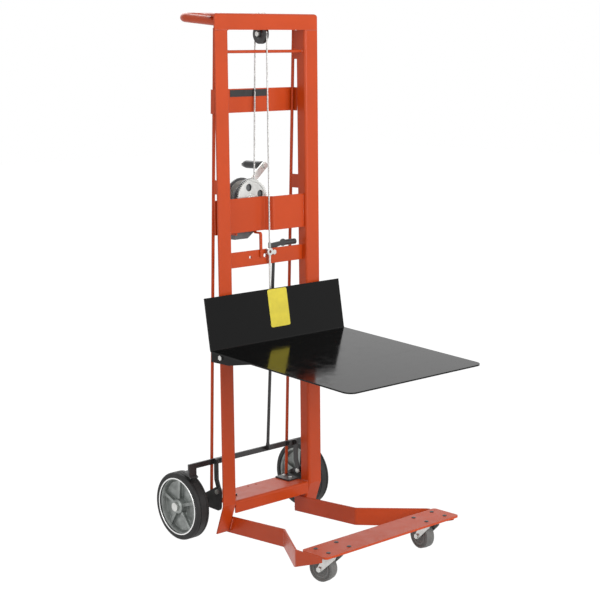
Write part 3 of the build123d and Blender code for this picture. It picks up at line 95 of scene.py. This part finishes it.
# Each lamp's name, place, width in metres and power in watts
LAMPS = (
    ("key_lamp", (0.4, -4.0, 2.2), 2.6, 128),
    ("fill_lamp", (-3.6, -1.2, 2.2), 2.4, 38),
    ("rear_lamp", (1.4, 3.4, 3.0), 2.4, 50),
)
LAMP_TARGET = (0, 0, 0.8)
WORLD_LIGHT = 0.46
WORLD_SEEN = 1.0
FLOOR_HALF = 14.0
FLOOR_COLOUR = (0.86, 0.86, 0.86, 1)
FLOOR_GLOW_SHARE = 0.93
FLOOR_GLOW = 1.08


def add_lights():
    """A key lamp in front, a weaker one at the side and one behind, and a pale world."""
    for name, place, size, power in LAMPS:
        area_light(name, place, LAMP_TARGET, size, power)
    world = bpy.data.worlds.new("world")
    bpy.context.scene.world = world
    world.use_nodes = True
    tree = world.node_tree
    tree.nodes.clear()
    path = tree.nodes.new("ShaderNodeLightPath")
    seen = tree.nodes.new("ShaderNodeMath")
    seen.operation = "MAXIMUM"
    tree.links.new(path.outputs["Is Camera Ray"], seen.inputs[0])
    tree.links.new(path.outputs["Is Glossy Ray"], seen.inputs[1])
    clear = tree.nodes.new("ShaderNodeMath")
    clear.operation = "MAXIMUM"
    tree.links.new(seen.outputs[0], clear.inputs[0])
    tree.links.new(path.outputs["Is Transmission Ray"], clear.inputs[1])
    strength = tree.nodes.new("ShaderNodeMapRange")
    strength.inputs["To Min"].default_value = WORLD_LIGHT
    strength.inputs["To Max"].default_value = WORLD_SEEN
    tree.links.new(clear.outputs[0], strength.inputs["Value"])
    background = tree.nodes.new("ShaderNodeBackground")
    background.inputs["Color"].default_value = (1, 1, 1, 1)
    tree.links.new(strength.outputs[0], background.inputs["Strength"])
    output = tree.nodes.new("ShaderNodeOutputWorld")
    tree.links.new(background.outputs[0], output.inputs["Surface"])


def add_floor():
    """A pale floor that looks white to the camera and in reflections."""
    size = FLOOR_HALF
    mesh = bpy.data.meshes.new("floor")
    corners = [(-size, -size, 0), (size, -size, 0), (size, size, 0), (-size, size, 0)]
    mesh.from_pydata(corners, [], [(0, 1, 2, 3)])
    floor = bpy.data.objects.new("floor", mesh)
    bpy.context.scene.collection.objects.link(floor)
    material = bpy.data.materials.new("floor_white")
    material.use_nodes = True
    tree = material.node_tree
    tree.nodes.clear()
    path = tree.nodes.new("ShaderNodeLightPath")
    seen = tree.nodes.new("ShaderNodeMath")
    seen.operation = "MAXIMUM"
    tree.links.new(path.outputs["Is Camera Ray"], seen.inputs[0])
    tree.links.new(path.outputs["Is Glossy Ray"], seen.inputs[1])
    share = tree.nodes.new("ShaderNodeMath")
    share.operation = "MULTIPLY"
    share.inputs[1].default_value = FLOOR_GLOW_SHARE
    tree.links.new(seen.outputs[0], share.inputs[0])
    diffuse = tree.nodes.new("ShaderNodeBsdfDiffuse")
    diffuse.inputs["Color"].default_value = FLOOR_COLOUR
    glow = tree.nodes.new("ShaderNodeEmission")
    glow.inputs["Color"].default_value = (1, 1, 1, 1)
    glow.inputs["Strength"].default_value = FLOOR_GLOW
    mix = tree.nodes.new("ShaderNodeMixShader")
    tree.links.new(share.outputs[0], mix.inputs["Fac"])
    tree.links.new(diffuse.outputs[0], mix.inputs[1])
    tree.links.new(glow.outputs[0], mix.inputs[2])
    output = tree.nodes.new("ShaderNodeOutputMaterial")
    tree.links.new(mix.outputs[0], output.inputs["Surface"])
    mesh.materials.append(material)


class Shader:
    """A material's node tree with short calls for the nodes that the finishes share."""

    def __init__(self, name):
        self.material = bpy.data.materials.new(name)
        self.material.use_nodes = True
        self.tree = self.material.node_tree
        self.tree.nodes.clear()
        self.surface = self.tree.nodes.new("ShaderNodeBsdfPrincipled")
        output = self.tree.nodes.new("ShaderNodeOutputMaterial")
        self.tree.links.new(self.surface.outputs[0], output.inputs["Surface"])
        self.place = self.tree.nodes.new("ShaderNodeTexCoord").outputs["Object"]

    def stretched(self, scale):
        """The coordinates scaled by a different amount on each axis."""
        mapping = self.tree.nodes.new("ShaderNodeMapping")
        mapping.inputs["Scale"].default_value = scale
        self.tree.links.new(self.place, mapping.inputs["Vector"])
        return mapping.outputs["Vector"]

    def noise(self, scale, detail=3.0, rough=0.5, place=None):
        """A grey noise in object space."""
        node = self.tree.nodes.new("ShaderNodeTexNoise")
        node.inputs["Scale"].default_value = scale
        node.inputs["Detail"].default_value = detail
        node.inputs["Roughness"].default_value = rough
        self.tree.links.new(place or self.place, node.inputs["Vector"])
        return node.outputs["Fac"]

    def cells(self, scale):
        """A random value for each cell of a cell pattern."""
        node = self.tree.nodes.new("ShaderNodeTexVoronoi")
        node.inputs["Scale"].default_value = scale
        self.tree.links.new(self.place, node.inputs["Vector"])
        return node.outputs["Color"]

    def spread(self, value, low, high, to_low, to_high):
        """A value mapped from one range to another."""
        node = self.tree.nodes.new("ShaderNodeMapRange")
        node.inputs["From Min"].default_value = low
        node.inputs["From Max"].default_value = high
        node.inputs["To Min"].default_value = to_low
        node.inputs["To Max"].default_value = to_high
        self.tree.links.new(value, node.inputs["Value"])
        return node.outputs[0]

    def mixed(self, factor, first, second):
        """A blend of two colours, each a colour value or another node's output."""
        node = self.tree.nodes.new("ShaderNodeMix")
        node.data_type = "RGBA"
        self.tree.links.new(factor, node.inputs[0])
        for socket, colour in ((node.inputs[6], first), (node.inputs[7], second)):
            if isinstance(colour, tuple):
                socket.default_value = (*colour, 1)
            else:
                self.tree.links.new(colour, socket)
        return node.outputs[2]

    def soft_edges(self, radius):
        """A normal that is rounded at the edges, and a mask that is high there."""
        bevel = self.tree.nodes.new("ShaderNodeBevel")
        bevel.samples = 6
        bevel.inputs["Radius"].default_value = radius
        geometry = self.tree.nodes.new("ShaderNodeNewGeometry")
        dot = self.tree.nodes.new("ShaderNodeVectorMath")
        dot.operation = "DOT_PRODUCT"
        self.tree.links.new(bevel.outputs["Normal"], dot.inputs[0])
        self.tree.links.new(geometry.outputs["Normal"], dot.inputs[1])
        return bevel.outputs["Normal"], self.spread(dot.outputs["Value"], 0.97, 0.75, 0.0, 1.0)

    def bump(self, height, distance, strength=1.0, normal=None):
        """A normal that is tilted by a height."""
        node = self.tree.nodes.new("ShaderNodeBump")
        node.inputs["Distance"].default_value = distance
        node.inputs["Strength"].default_value = strength
        self.tree.links.new(height, node.inputs["Height"])
        if normal is not None:
            self.tree.links.new(normal, node.inputs["Normal"])
        return node.outputs["Normal"]

    def finish(self, colour=None, roughness=None, normal=None, **values):
        """Connect the surface and return the material."""
        for name, source in (("Base Color", colour), ("Roughness", roughness), ("Normal", normal)):
            if isinstance(source, tuple):
                self.surface.inputs[name].default_value = (*source, 1)
            elif isinstance(source, float):
                self.surface.inputs[name].default_value = source
            elif source is not None:
                self.tree.links.new(source, self.surface.inputs[name])
        for name, value in values.items():
            self.surface.inputs[name.replace("_", " ")].default_value = value
        return self.material


def shade(colour, factor):
    """A lighter or darker colour."""
    return tuple(min(1.0, channel * factor) for channel in colour)


def painted(name, colour, roughness, coat, peel, edge, wear_and_highlight=0.35, ior=1.5):
    """Sprayed paint with orange peel, slight unevenness, and paler edges that are partly worn paint and
    partly a painted highlight.
    """
    shader = Shader(name)
    normal, mask = shader.soft_edges(edge)
    patches = shader.spread(shader.noise(5.0, 4.0), 0.3, 0.7, 0.0, 1.0)
    base = shader.mixed(patches, shade(colour, 0.93), shade(colour, 1.06))
    specks = shader.spread(shader.noise(900.0, 2.0), 0.62, 0.7, 0.0, 0.22)
    base = shader.mixed(specks, base, shade(colour, 0.72))
    # Paler edges in patches: partly worn paint, partly a painted highlight where light catches the rounded
    # edges.
    worn_and_highlit_edges = shader.tree.nodes.new("ShaderNodeMath")
    worn_and_highlit_edges.operation = "MULTIPLY"
    shader.tree.links.new(mask, worn_and_highlit_edges.inputs[0])
    worn_and_highlit = shader.spread(shader.noise(70.0, 5.0, 0.7), 0.42, 0.66, 0.0, wear_and_highlight)
    shader.tree.links.new(worn_and_highlit, worn_and_highlit_edges.inputs[1])
    pale = tuple(channel * 0.5 + 0.28 for channel in colour)
    base = shader.mixed(worn_and_highlit_edges.outputs[0], base, pale)
    rough = shader.spread(shader.noise(28.0, 5.0, 0.6), 0.25, 0.75, roughness - 0.07, roughness + 0.09)
    peel_height = shader.noise(420.0, 2.0)
    normal = shader.bump(peel_height, peel, 1.0, normal)
    return shader.finish(base, rough, normal, Coat_Weight=coat, Coat_Roughness=0.12, IOR=ior)


def plated(name, colour, roughness, spangle, edge):
    """Zinc or machined steel with faint spangle and fine brushing."""
    shader = Shader(name)
    normal, mask = shader.soft_edges(edge)
    patchy_tone = shader.spread(shader.noise(60.0, 5.0, 0.65), 0.3, 0.7, 0.0, 1.0)
    base = shader.mixed(patchy_tone, shade(colour, 0.86), shade(colour, 1.08))
    base = shader.mixed(shader.spread(shader.cells(spangle), 0.0, 1.0, 0.0, 0.22), base, shade(colour, 0.72))
    # Painted highlight: the edges are lightened to stand for light caught on their rounded corners.
    base = shader.mixed(shader.spread(mask, 0.0, 1.0, 0.0, 0.5), base, shade(colour, 1.25))
    rough = shader.spread(shader.noise(180.0, 4.0), 0.25, 0.75, roughness - 0.08, roughness + 0.1)
    scratches = shader.noise(240.0, 3.0, 0.5, shader.stretched((1.0, 9.0, 9.0)))
    normal = shader.bump(scratches, 0.00012, 0.6, normal)
    return shader.finish(base, rough, normal, Metallic=1.0)


def cast(name, colour):
    """Cast aluminium with a grainy skin."""
    shader = Shader(name)
    normal, mask = shader.soft_edges(0.0014)
    # Lighter and darker patches at random, from 0.6 to 1.5 times the colour.
    patchy_tone = shader.spread(shader.noise(24.0, 6.0, 0.65), 0.3, 0.72, 0.0, 1.0)
    base = shader.mixed(patchy_tone, shade(colour, 0.6), shade(colour, 1.5))
    # Painted highlight: the edges are lightened towards twice the colour, standing for light caught on them.
    base = shader.mixed(shader.spread(mask, 0.0, 1.0, 0.0, 0.5), base, shade(colour, 2.0))
    rough = shader.spread(shader.noise(90.0, 4.0), 0.25, 0.75, 0.34, 0.56)
    grain = shader.noise(700.0, 4.0, 0.6)
    normal = shader.bump(grain, 0.0003, 0.8, normal)
    return shader.finish(base, rough, normal, Metallic=0.9)


def rubber(name, colour, roughness, grain):
    """Moulded rubber or plastic with a fine matt skin and patches of dust."""
    shader = Shader(name)
    normal, mask = shader.soft_edges(0.0010)
    dust = shader.spread(shader.noise(16.0, 6.0, 0.7), 0.45, 0.8, 0.0, 0.35)
    base = shader.mixed(dust, colour, tuple(channel + 0.02 for channel in colour))
    # Lighter edges: partly rubbed rubber, partly a painted highlight where light catches them.
    worn_and_highlit = tuple(channel + 0.04 for channel in colour)
    base = shader.mixed(shader.spread(mask, 0.0, 1.0, 0.0, 0.25), base, worn_and_highlit)
    rough = shader.spread(shader.noise(45.0, 4.0), 0.25, 0.75, roughness - 0.08, roughness + 0.1)
    normal = shader.bump(shader.noise(grain, 3.0), 0.0002, 0.7, normal)
    return shader.finish(base, rough, normal, IOR=1.5)


def wire_rope(name):
    """Bright drawn wire with grease between the strands."""
    shader = Shader(name)
    grease = shader.spread(shader.noise(260.0, 4.0, 0.6), 0.42, 0.66, 0.0, 0.8)
    base = shader.mixed(grease, (0.62, 0.62, 0.61), (0.16, 0.15, 0.14))
    wires = shader.noise(1500.0, 2.0, 0.5, shader.stretched((1.0, 1.0, 0.15)))
    return shader.finish(base, 0.34, shader.bump(wires, 0.0002, 0.8), Metallic=1.0)


def sticker(name, colour):
    """A plain printed film with a slightly crinkled surface."""
    shader = Shader(name)
    faded = shader.spread(shader.noise(40.0, 5.0), 0.3, 0.7, 0.0, 1.0)
    base = shader.mixed(faded, shade(colour, 0.9), shade(colour, 1.05))
    rough = shader.spread(shader.noise(120.0, 3.0), 0.3, 0.7, 0.3, 0.45)
    return shader.finish(base, rough, shader.bump(shader.noise(150.0, 2.0), 0.0003, 0.5))


def weld_metal(name, colour):
    """Paint over a weld, a little rougher than the sheet beside it."""
    shader = Shader(name)
    patches = shader.spread(shader.noise(160.0, 4.0), 0.3, 0.7, 0.0, 1.0)
    base = shader.mixed(patches, shade(colour, 0.8), shade(colour, 1.08))
    return shader.finish(base, 0.34, shader.bump(shader.noise(600.0, 3.0), 0.0004, 0.8), Coat_Weight=0.4)


ORANGE = (0.50, 0.052, 0.004)
FINISHES = {
    "frame_paint": painted("orange_paint", ORANGE, 0.38, 0.08, 0.00010, 0.0011, ior=1.36),
    "platform_paint": painted(
        "black_gloss_paint", (0.002, 0.002, 0.002), 0.11, 0.0, 0.00002, 0.0012, 0.12, 1.26
    ),
    "black_steel": painted("black_satin_paint", (0.018, 0.018, 0.019), 0.40, 0.2, 0.00012, 0.0009, 0.2),
    "winch_paint": painted(
        "winch_grey_paint", (0.075, 0.078, 0.082), 0.38, 0.3, 0.00012, 0.0009, 0.25
    ),
    "zinc": plated("zinc_plate", (0.66, 0.66, 0.64), 0.34, 420.0, 0.0005),
    "cable_steel": wire_rope("wire_rope_steel"),
    "cast_aluminium": cast("cast_aluminium_skin", (0.27, 0.285, 0.275)),
    "tyre_rubber": rubber("tyre_rubber_skin", (0.003, 0.003, 0.003), 0.62, 900.0),
    "caster_rubber": rubber("caster_rubber_skin", (0.13, 0.13, 0.125), 0.55, 900.0),
    "grip_plastic": rubber("grip_plastic_skin", (0.012, 0.012, 0.013), 0.35, 1200.0),
}


def dress_nodes():
    """Give every CAD node the finish of its slot."""
    for entry in frame["record"]["subparts"]:
        node = frame["nodes"][entry["node"]]
        node.data.materials.clear()
        node.data.materials.append(FINISHES[entry["material_slot"]])


def mesh_piece(name, vertices, faces, material, body, smooth=True):
    """A new mesh object with the finish it is given, riding on a body when one is named."""
    mesh = bpy.data.meshes.new(name)
    mesh.from_pydata(vertices, [], faces)
    mesh.update()
    made = bmesh.new()
    made.from_mesh(mesh)
    bmesh.ops.recalc_face_normals(made, faces=made.faces)
    made.to_mesh(mesh)
    made.free()
    for polygon in mesh.polygons:
        polygon.use_smooth = smooth
    mesh.materials.append(material)
    piece = bpy.data.objects.new(name, mesh)
    bpy.context.scene.collection.objects.link(piece)
    if body:
        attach(piece, body)
    return piece


def mast(x, y, z):
    """A point given in millimetres from the mast's front face, in metres in the row."""
    return Vector((x / 1000, y / 1000 + MAST_Y, z / 1000))


def tube_rings(path, radius, sides, closed_ends=True, radii=None):
    """Vertices and faces of a round tube along a list of points."""
    vertices = []
    faces = []
    normal = None
    for index, point in enumerate(path):
        before = path[max(index - 1, 0)]
        after = path[min(index + 1, len(path) - 1)]
        along = (after - before).normalized()
        if normal is None:
            normal = along.orthogonal().normalized()
        normal = (normal - along * normal.dot(along)).normalized()
        side = along.cross(normal)
        size = radii[index] if radii else radius
        for step in range(sides):
            turn = 2 * pi * step / sides
            vertices.append(point + normal * cos(turn) * size + side * sin(turn) * size)
    for index in range(len(path) - 1):
        for step in range(sides):
            following = (step + 1) % sides
            low = index * sides
            faces.append((low + step, low + following, low + sides + following, low + sides + step))
    if closed_ends:
        faces.append(tuple(reversed(range(sides))))
        last = (len(path) - 1) * sides
        faces.append(tuple(range(last, last + sides)))
    return vertices, faces


STRANDS = 6
STRAND_SIDES = 6
ROPE_LAY = 0.034
ROPE_STEP = 0.0031


def rope(path_points, radius):
    """A wire rope of twisted strands along a line of points."""
    lengths = [0.0]
    for first, second in zip(path_points, path_points[1:]):
        lengths.append(lengths[-1] + (second - first).length)
    count = max(2, int(lengths[-1] / ROPE_STEP))
    centre = []
    segment = 0
    for index in range(count + 1):
        distance = lengths[-1] * index / count
        while segment < len(lengths) - 2 and lengths[segment + 1] < distance:
            segment += 1
        share = (distance - lengths[segment]) / (lengths[segment + 1] - lengths[segment])
        centre.append((distance, path_points[segment].lerp(path_points[segment + 1], share)))
    frames = []
    normal = None
    for index, (distance, point) in enumerate(centre):
        before = centre[max(index - 1, 0)][1]
        after = centre[min(index + 1, count)][1]
        along = (after - before).normalized()
        if normal is None:
            normal = along.orthogonal().normalized()
        normal = (normal - along * normal.dot(along)).normalized()
        frames.append((distance, point, normal.copy(), along.cross(normal)))
    strand = radius * 0.36
    orbit = radius - strand
    vertices = []
    faces = []

    def add(line, size):
        start = len(vertices)
        ring_vertices, ring_faces = tube_rings(line, size, STRAND_SIDES)
        vertices.extend(ring_vertices)
        faces.extend(tuple(start + corner for corner in face) for face in ring_faces)

    for index in range(STRANDS):
        line = []
        for distance, point, normal, side in frames:
            turn = 2 * pi * (distance / ROPE_LAY + index / STRANDS)
            line.append(point + normal * cos(turn) * orbit + side * sin(turn) * orbit)
        add(line, strand)
    add([point for _, point, _, _ in frames], strand)
    return vertices, faces


CABLE_RADIUS = 0.0024
# Places and radii of the cable's route on the mast, in millimetres
SHEAVE_X = 6.0
SHEAVE_Y = 36.0
SHEAVE_Z = 1483.0
SHEAVE_WRAP = 25.5
DRUM_X = -28.0
DRUM_Z = 1008.0
DRUM_WRAP = 22.0
DRUM_LEAVE_Y = 62.7
WRAP_PITCH = 5.1
WRAPS = 4
SLEEVE_TOP_Z = 875.0
ARC_STEPS = 24
RUN_STEPS = 12
TURN_STEPS = 36
FIRST_TURN_SHARE = 0.55
LAST_TURN_SHARE = 0.1


def add_cables():
    """Twisted rope for the front fall, the run to the drum and the turns on it."""
    finish = FINISHES["cable_steel"]
    front = mast(SHEAVE_X, SHEAVE_Y - SHEAVE_WRAP, SHEAVE_Z)
    sleeve_top = mast(SHEAVE_X, SHEAVE_Y - SHEAVE_WRAP, SLEEVE_TOP_Z)
    vertices, faces = rope([sleeve_top, front], CABLE_RADIUS)
    fall = mesh_piece("lift_cable_front", vertices, faces, finish, None)
    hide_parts("front_cable")
    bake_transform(fall)

    path = []
    for step in range(ARC_STEPS + 1):
        turn = pi - pi * step / ARC_STEPS
        y = SHEAVE_Y + SHEAVE_WRAP * cos(turn)
        path.append(mast(SHEAVE_X, y, SHEAVE_Z + SHEAVE_WRAP * sin(turn)))
    end = mast(DRUM_X + DRUM_WRAP, DRUM_LEAVE_Y, DRUM_Z)
    path.extend(path[ARC_STEPS].lerp(end, step / RUN_STEPS) for step in range(1, RUN_STEPS + 1))
    vertices, faces = rope(path, CABLE_RADIUS)
    rear = mesh_piece("lift_cable_rear", vertices, faces, finish, "frame")
    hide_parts("rear_cable")

    path = []
    for step in range(WRAPS * TURN_STEPS + 1):
        turn = 2 * pi * step / TURN_STEPS
        turns = step / TURN_STEPS * (WRAPS - LAST_TURN_SHARE) / WRAPS
        along = DRUM_LEAVE_Y + WRAP_PITCH * (FIRST_TURN_SHARE + turns)
        path.append(mast(DRUM_X + DRUM_WRAP * cos(turn), along, DRUM_Z + DRUM_WRAP * sin(turn)))
    vertices, faces = rope(path, CABLE_RADIUS)
    coil = mesh_piece("drum_cable_turns", vertices, faces, finish, "drum")
    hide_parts("drum_cable")


WELD_PITCH = 0.0021


def weld(name, start, end, width, body="frame"):
    """A rippled weld bead between two points."""
    length = (end - start).length
    count = max(4, int(length / WELD_PITCH) * 4)
    path = [start.lerp(end, index / count) for index in range(count + 1)]
    radii = []
    for index in range(count + 1):
        ripple = 0.88 + 0.14 * abs(sin(pi * index / 4))
        fade = min(1.0, 0.35 + 0.3 * min(index, count - index))
        uneven = 1.0 + 0.08 * sin(index * 0.37 + length * 90)
        radii.append(width / 2 * ripple * fade * uneven)
    vertices, faces = tube_rings(path, width / 2, 10, radii=radii)
    return mesh_piece(name, vertices, faces, WELD_FINISH, body)


WELD_FINISH = weld_metal("painted_weld", ORANGE)


# Half widths of the mast and of its webs, and the spreader's end, in millimetres
MAST_HALF = 197.0
WEB_OUTER = 152.0
WEB_INNER = 147.0
SPREADER_PLACE = (146.2, 18, 1433)
SPREADER_RING = 5.4
RING_STEPS = 12


def add_welds():
    """The beads where plates, tubes and rods meet, placed in millimetres on the mast."""
    for side, name in ((-1, "left"), (1, "right")):
        outer = side * MAST_HALF
        web = side * WEB_OUTER
        inner = side * WEB_INNER
        weld(f"{name}_cap_weld", mast(outer, 0.4, 1493.6), mast(inner, 0.4, 1493.6), 0.0035)
        weld(f"{name}_handle_weld", mast(side * 154.2, 8, 1508.4), mast(side * 154.2, 34, 1510.9), 0.005)
        weld(f"{name}_gusset_weld_high", mast(web, 36.4, 1412), mast(web, 36.4, 1490), 0.005)
        weld(f"{name}_gusset_weld_low", mast(web, 36.4, 1029), mast(web, 36.4, 1066), 0.005)
        weld(f"{name}_step_weld", mast(inner, 7, 119.6), mast(inner, 34, 119.6), 0.005)
        weld(f"{name}_guide_weld", mast(inner, 25.6, 816), mast(inner, 25.6, 855), 0.0045)
        plate_end = inner - side * 1.0
        weld(f"{name}_winch_weld", mast(plate_end, 14.5, 914), mast(plate_end, 14.5, 1010), 0.006)
        weld(f"{name}_brace_weld", mast(side * 146.9, 107.4, 120.6), mast(side * 146.9, 117.0, 120.6), 0.006)
        weld(f"{name}_rail_weld", mast(side * 148.2, 30.0, 30), mast(side * 148.2, 17.0, 65.5), 0.007)
    x, y, z = SPREADER_PLACE
    for side, name in ((-1, "left"), (1, "right")):
        points = []
        for step in range(RING_STEPS + 1):
            turn = 2 * pi * step / RING_STEPS
            points.append(mast(side * x, y + SPREADER_RING * cos(turn), z + SPREADER_RING * sin(turn)))
        vertices, faces = tube_rings(points, 0.0022, 8)
        mesh_piece(f"{name}_spreader_weld", vertices, faces, WELD_FINISH, "frame")


def plate_piece(name, centre, across, upward, width, height, thick, corner, material, body):
    """A thin rounded plate on a face, its corners cut by arcs."""
    out = across.cross(upward).normalized()
    outline = []
    for quarter in range(4):
        middle_x = (width / 2 - corner) * (1 if quarter in (0, 3) else -1)
        middle_y = (height / 2 - corner) * (1 if quarter in (0, 1) else -1)
        for step in range(5):
            turn = pi / 2 * (quarter + step / 4)
            outline.append((middle_x + corner * cos(turn), middle_y + corner * sin(turn)))
    vertices = []
    for level in (0.0, thick):
        vertices.extend(centre + across * x + upward * y + out * level for x, y in outline)
    count = len(outline)
    faces = [tuple(reversed(range(count))), tuple(range(count, 2 * count))]
    for index in range(count):
        following = (index + 1) % count
        faces.append((index, following, count + following, count + index))
    return mesh_piece(name, vertices, faces, material, body, smooth=False)


RING_SIDES = 72
# Places of the rear wheels and casters on the mast, in millimetres
REAR_AXLE = (135.0, 101.6)
RIM_FACE_X = 265.6
CASTER_SPREAD = 195.0
CASTER_Y = -455.0
CASTER_TRAIL = 30.0
CASTER_AXLE_Z = 38.0
# Half the width of a caster wheel's side face, in metres
CASTER_FACE = 0.0134


def ring_piece(name, centre, axis, inner, outer, depth, material, body):
    """A thin ring with a chamfered outer face, turned about an axis."""
    first = axis.orthogonal().normalized()
    second = axis.cross(first)
    lip = depth * 0.5
    profile = [
        (inner, 0.0),
        (inner, depth - lip),
        (inner + lip, depth),
        (outer - lip, depth),
        (outer, depth - lip),
        (outer, 0.0),
    ]
    vertices = []
    faces = []
    for step in range(RING_SIDES):
        turn = 2 * pi * step / RING_SIDES
        spoke = first * cos(turn) + second * sin(turn)
        vertices.extend(centre + spoke * radius + axis * level for radius, level in profile)
    count = len(profile)
    for step in range(RING_SIDES):
        low = step * count
        high = (step + 1) % RING_SIDES * count
        for index in range(count):
            following = (index + 1) % count
            faces.append((low + index, low + following, high + following, high + index))
    return mesh_piece(name, vertices, faces, material, body, smooth=False)


def add_wheel_rings():
    """Bright lips on the rear rims, and the moulded rings on the casters' faces."""
    bright = plated("polished_rim", (0.88, 0.88, 0.87), 0.2, 300.0, 0.0004)
    moulded = rubber("caster_face", (0.17, 0.175, 0.17), 0.45, 900.0)
    for side, name, turn in ((-1, "left", 12.0), (1, "right", -6.0)):
        outward = Vector((side, 0, 0))
        ring_piece(
            f"{name}_rim_lip", mast(side * RIM_FACE_X, *REAR_AXLE), outward,
            0.0822, 0.0862, 0.0014, bright, f"{name}_rear_wheel",
        )
        lean = radians(turn)
        along = Vector((cos(lean), sin(lean), 0))
        x = side * CASTER_SPREAD - CASTER_TRAIL * sin(lean)
        axle = mast(x, CASTER_Y + CASTER_TRAIL * cos(lean), CASTER_AXLE_Z)
        for face, label in ((-1, "a"), (1, "b")):
            ring_piece(
                f"{name}_caster_ring_{label}", axle + along * face * CASTER_FACE, along * face,
                0.0215, 0.0262, 0.0012, moulded, f"{name}_roll",
            )


def add_plain_labels():
    """Blank films where the truck carries its stickers."""
    yellow = sticker("yellow_film", (0.70, 0.58, 0.04))
    black = sticker("black_film", (0.012, 0.012, 0.012))
    across = Vector((1, 0, 0))
    back_up = Vector((0, 24.0, 150.0)).normalized()
    centre = mast(9.5, -23.2, 687.0)
    plate_piece(
        "platform_blank_label", centre, across, back_up, 0.076, 0.112, 0.0003, 0.006,
        yellow, "lift_platform",
    )
    strap_up = Vector((0, -49.0, 1380.0)).normalized()
    centre = mast(-18.5, 66.3, 1314.0)
    plate_piece(
        "strap_blank_label", centre, across, strap_up, 0.141, 0.020, 0.0003, 0.001,
        black, "frame",
    )


place_camera()
add_lights()
add_floor()
dress_nodes()
add_cables()
add_welds()
add_wheel_rings()
add_plain_labels()

bpy.context.scene.view_settings.view_transform = "Standard"
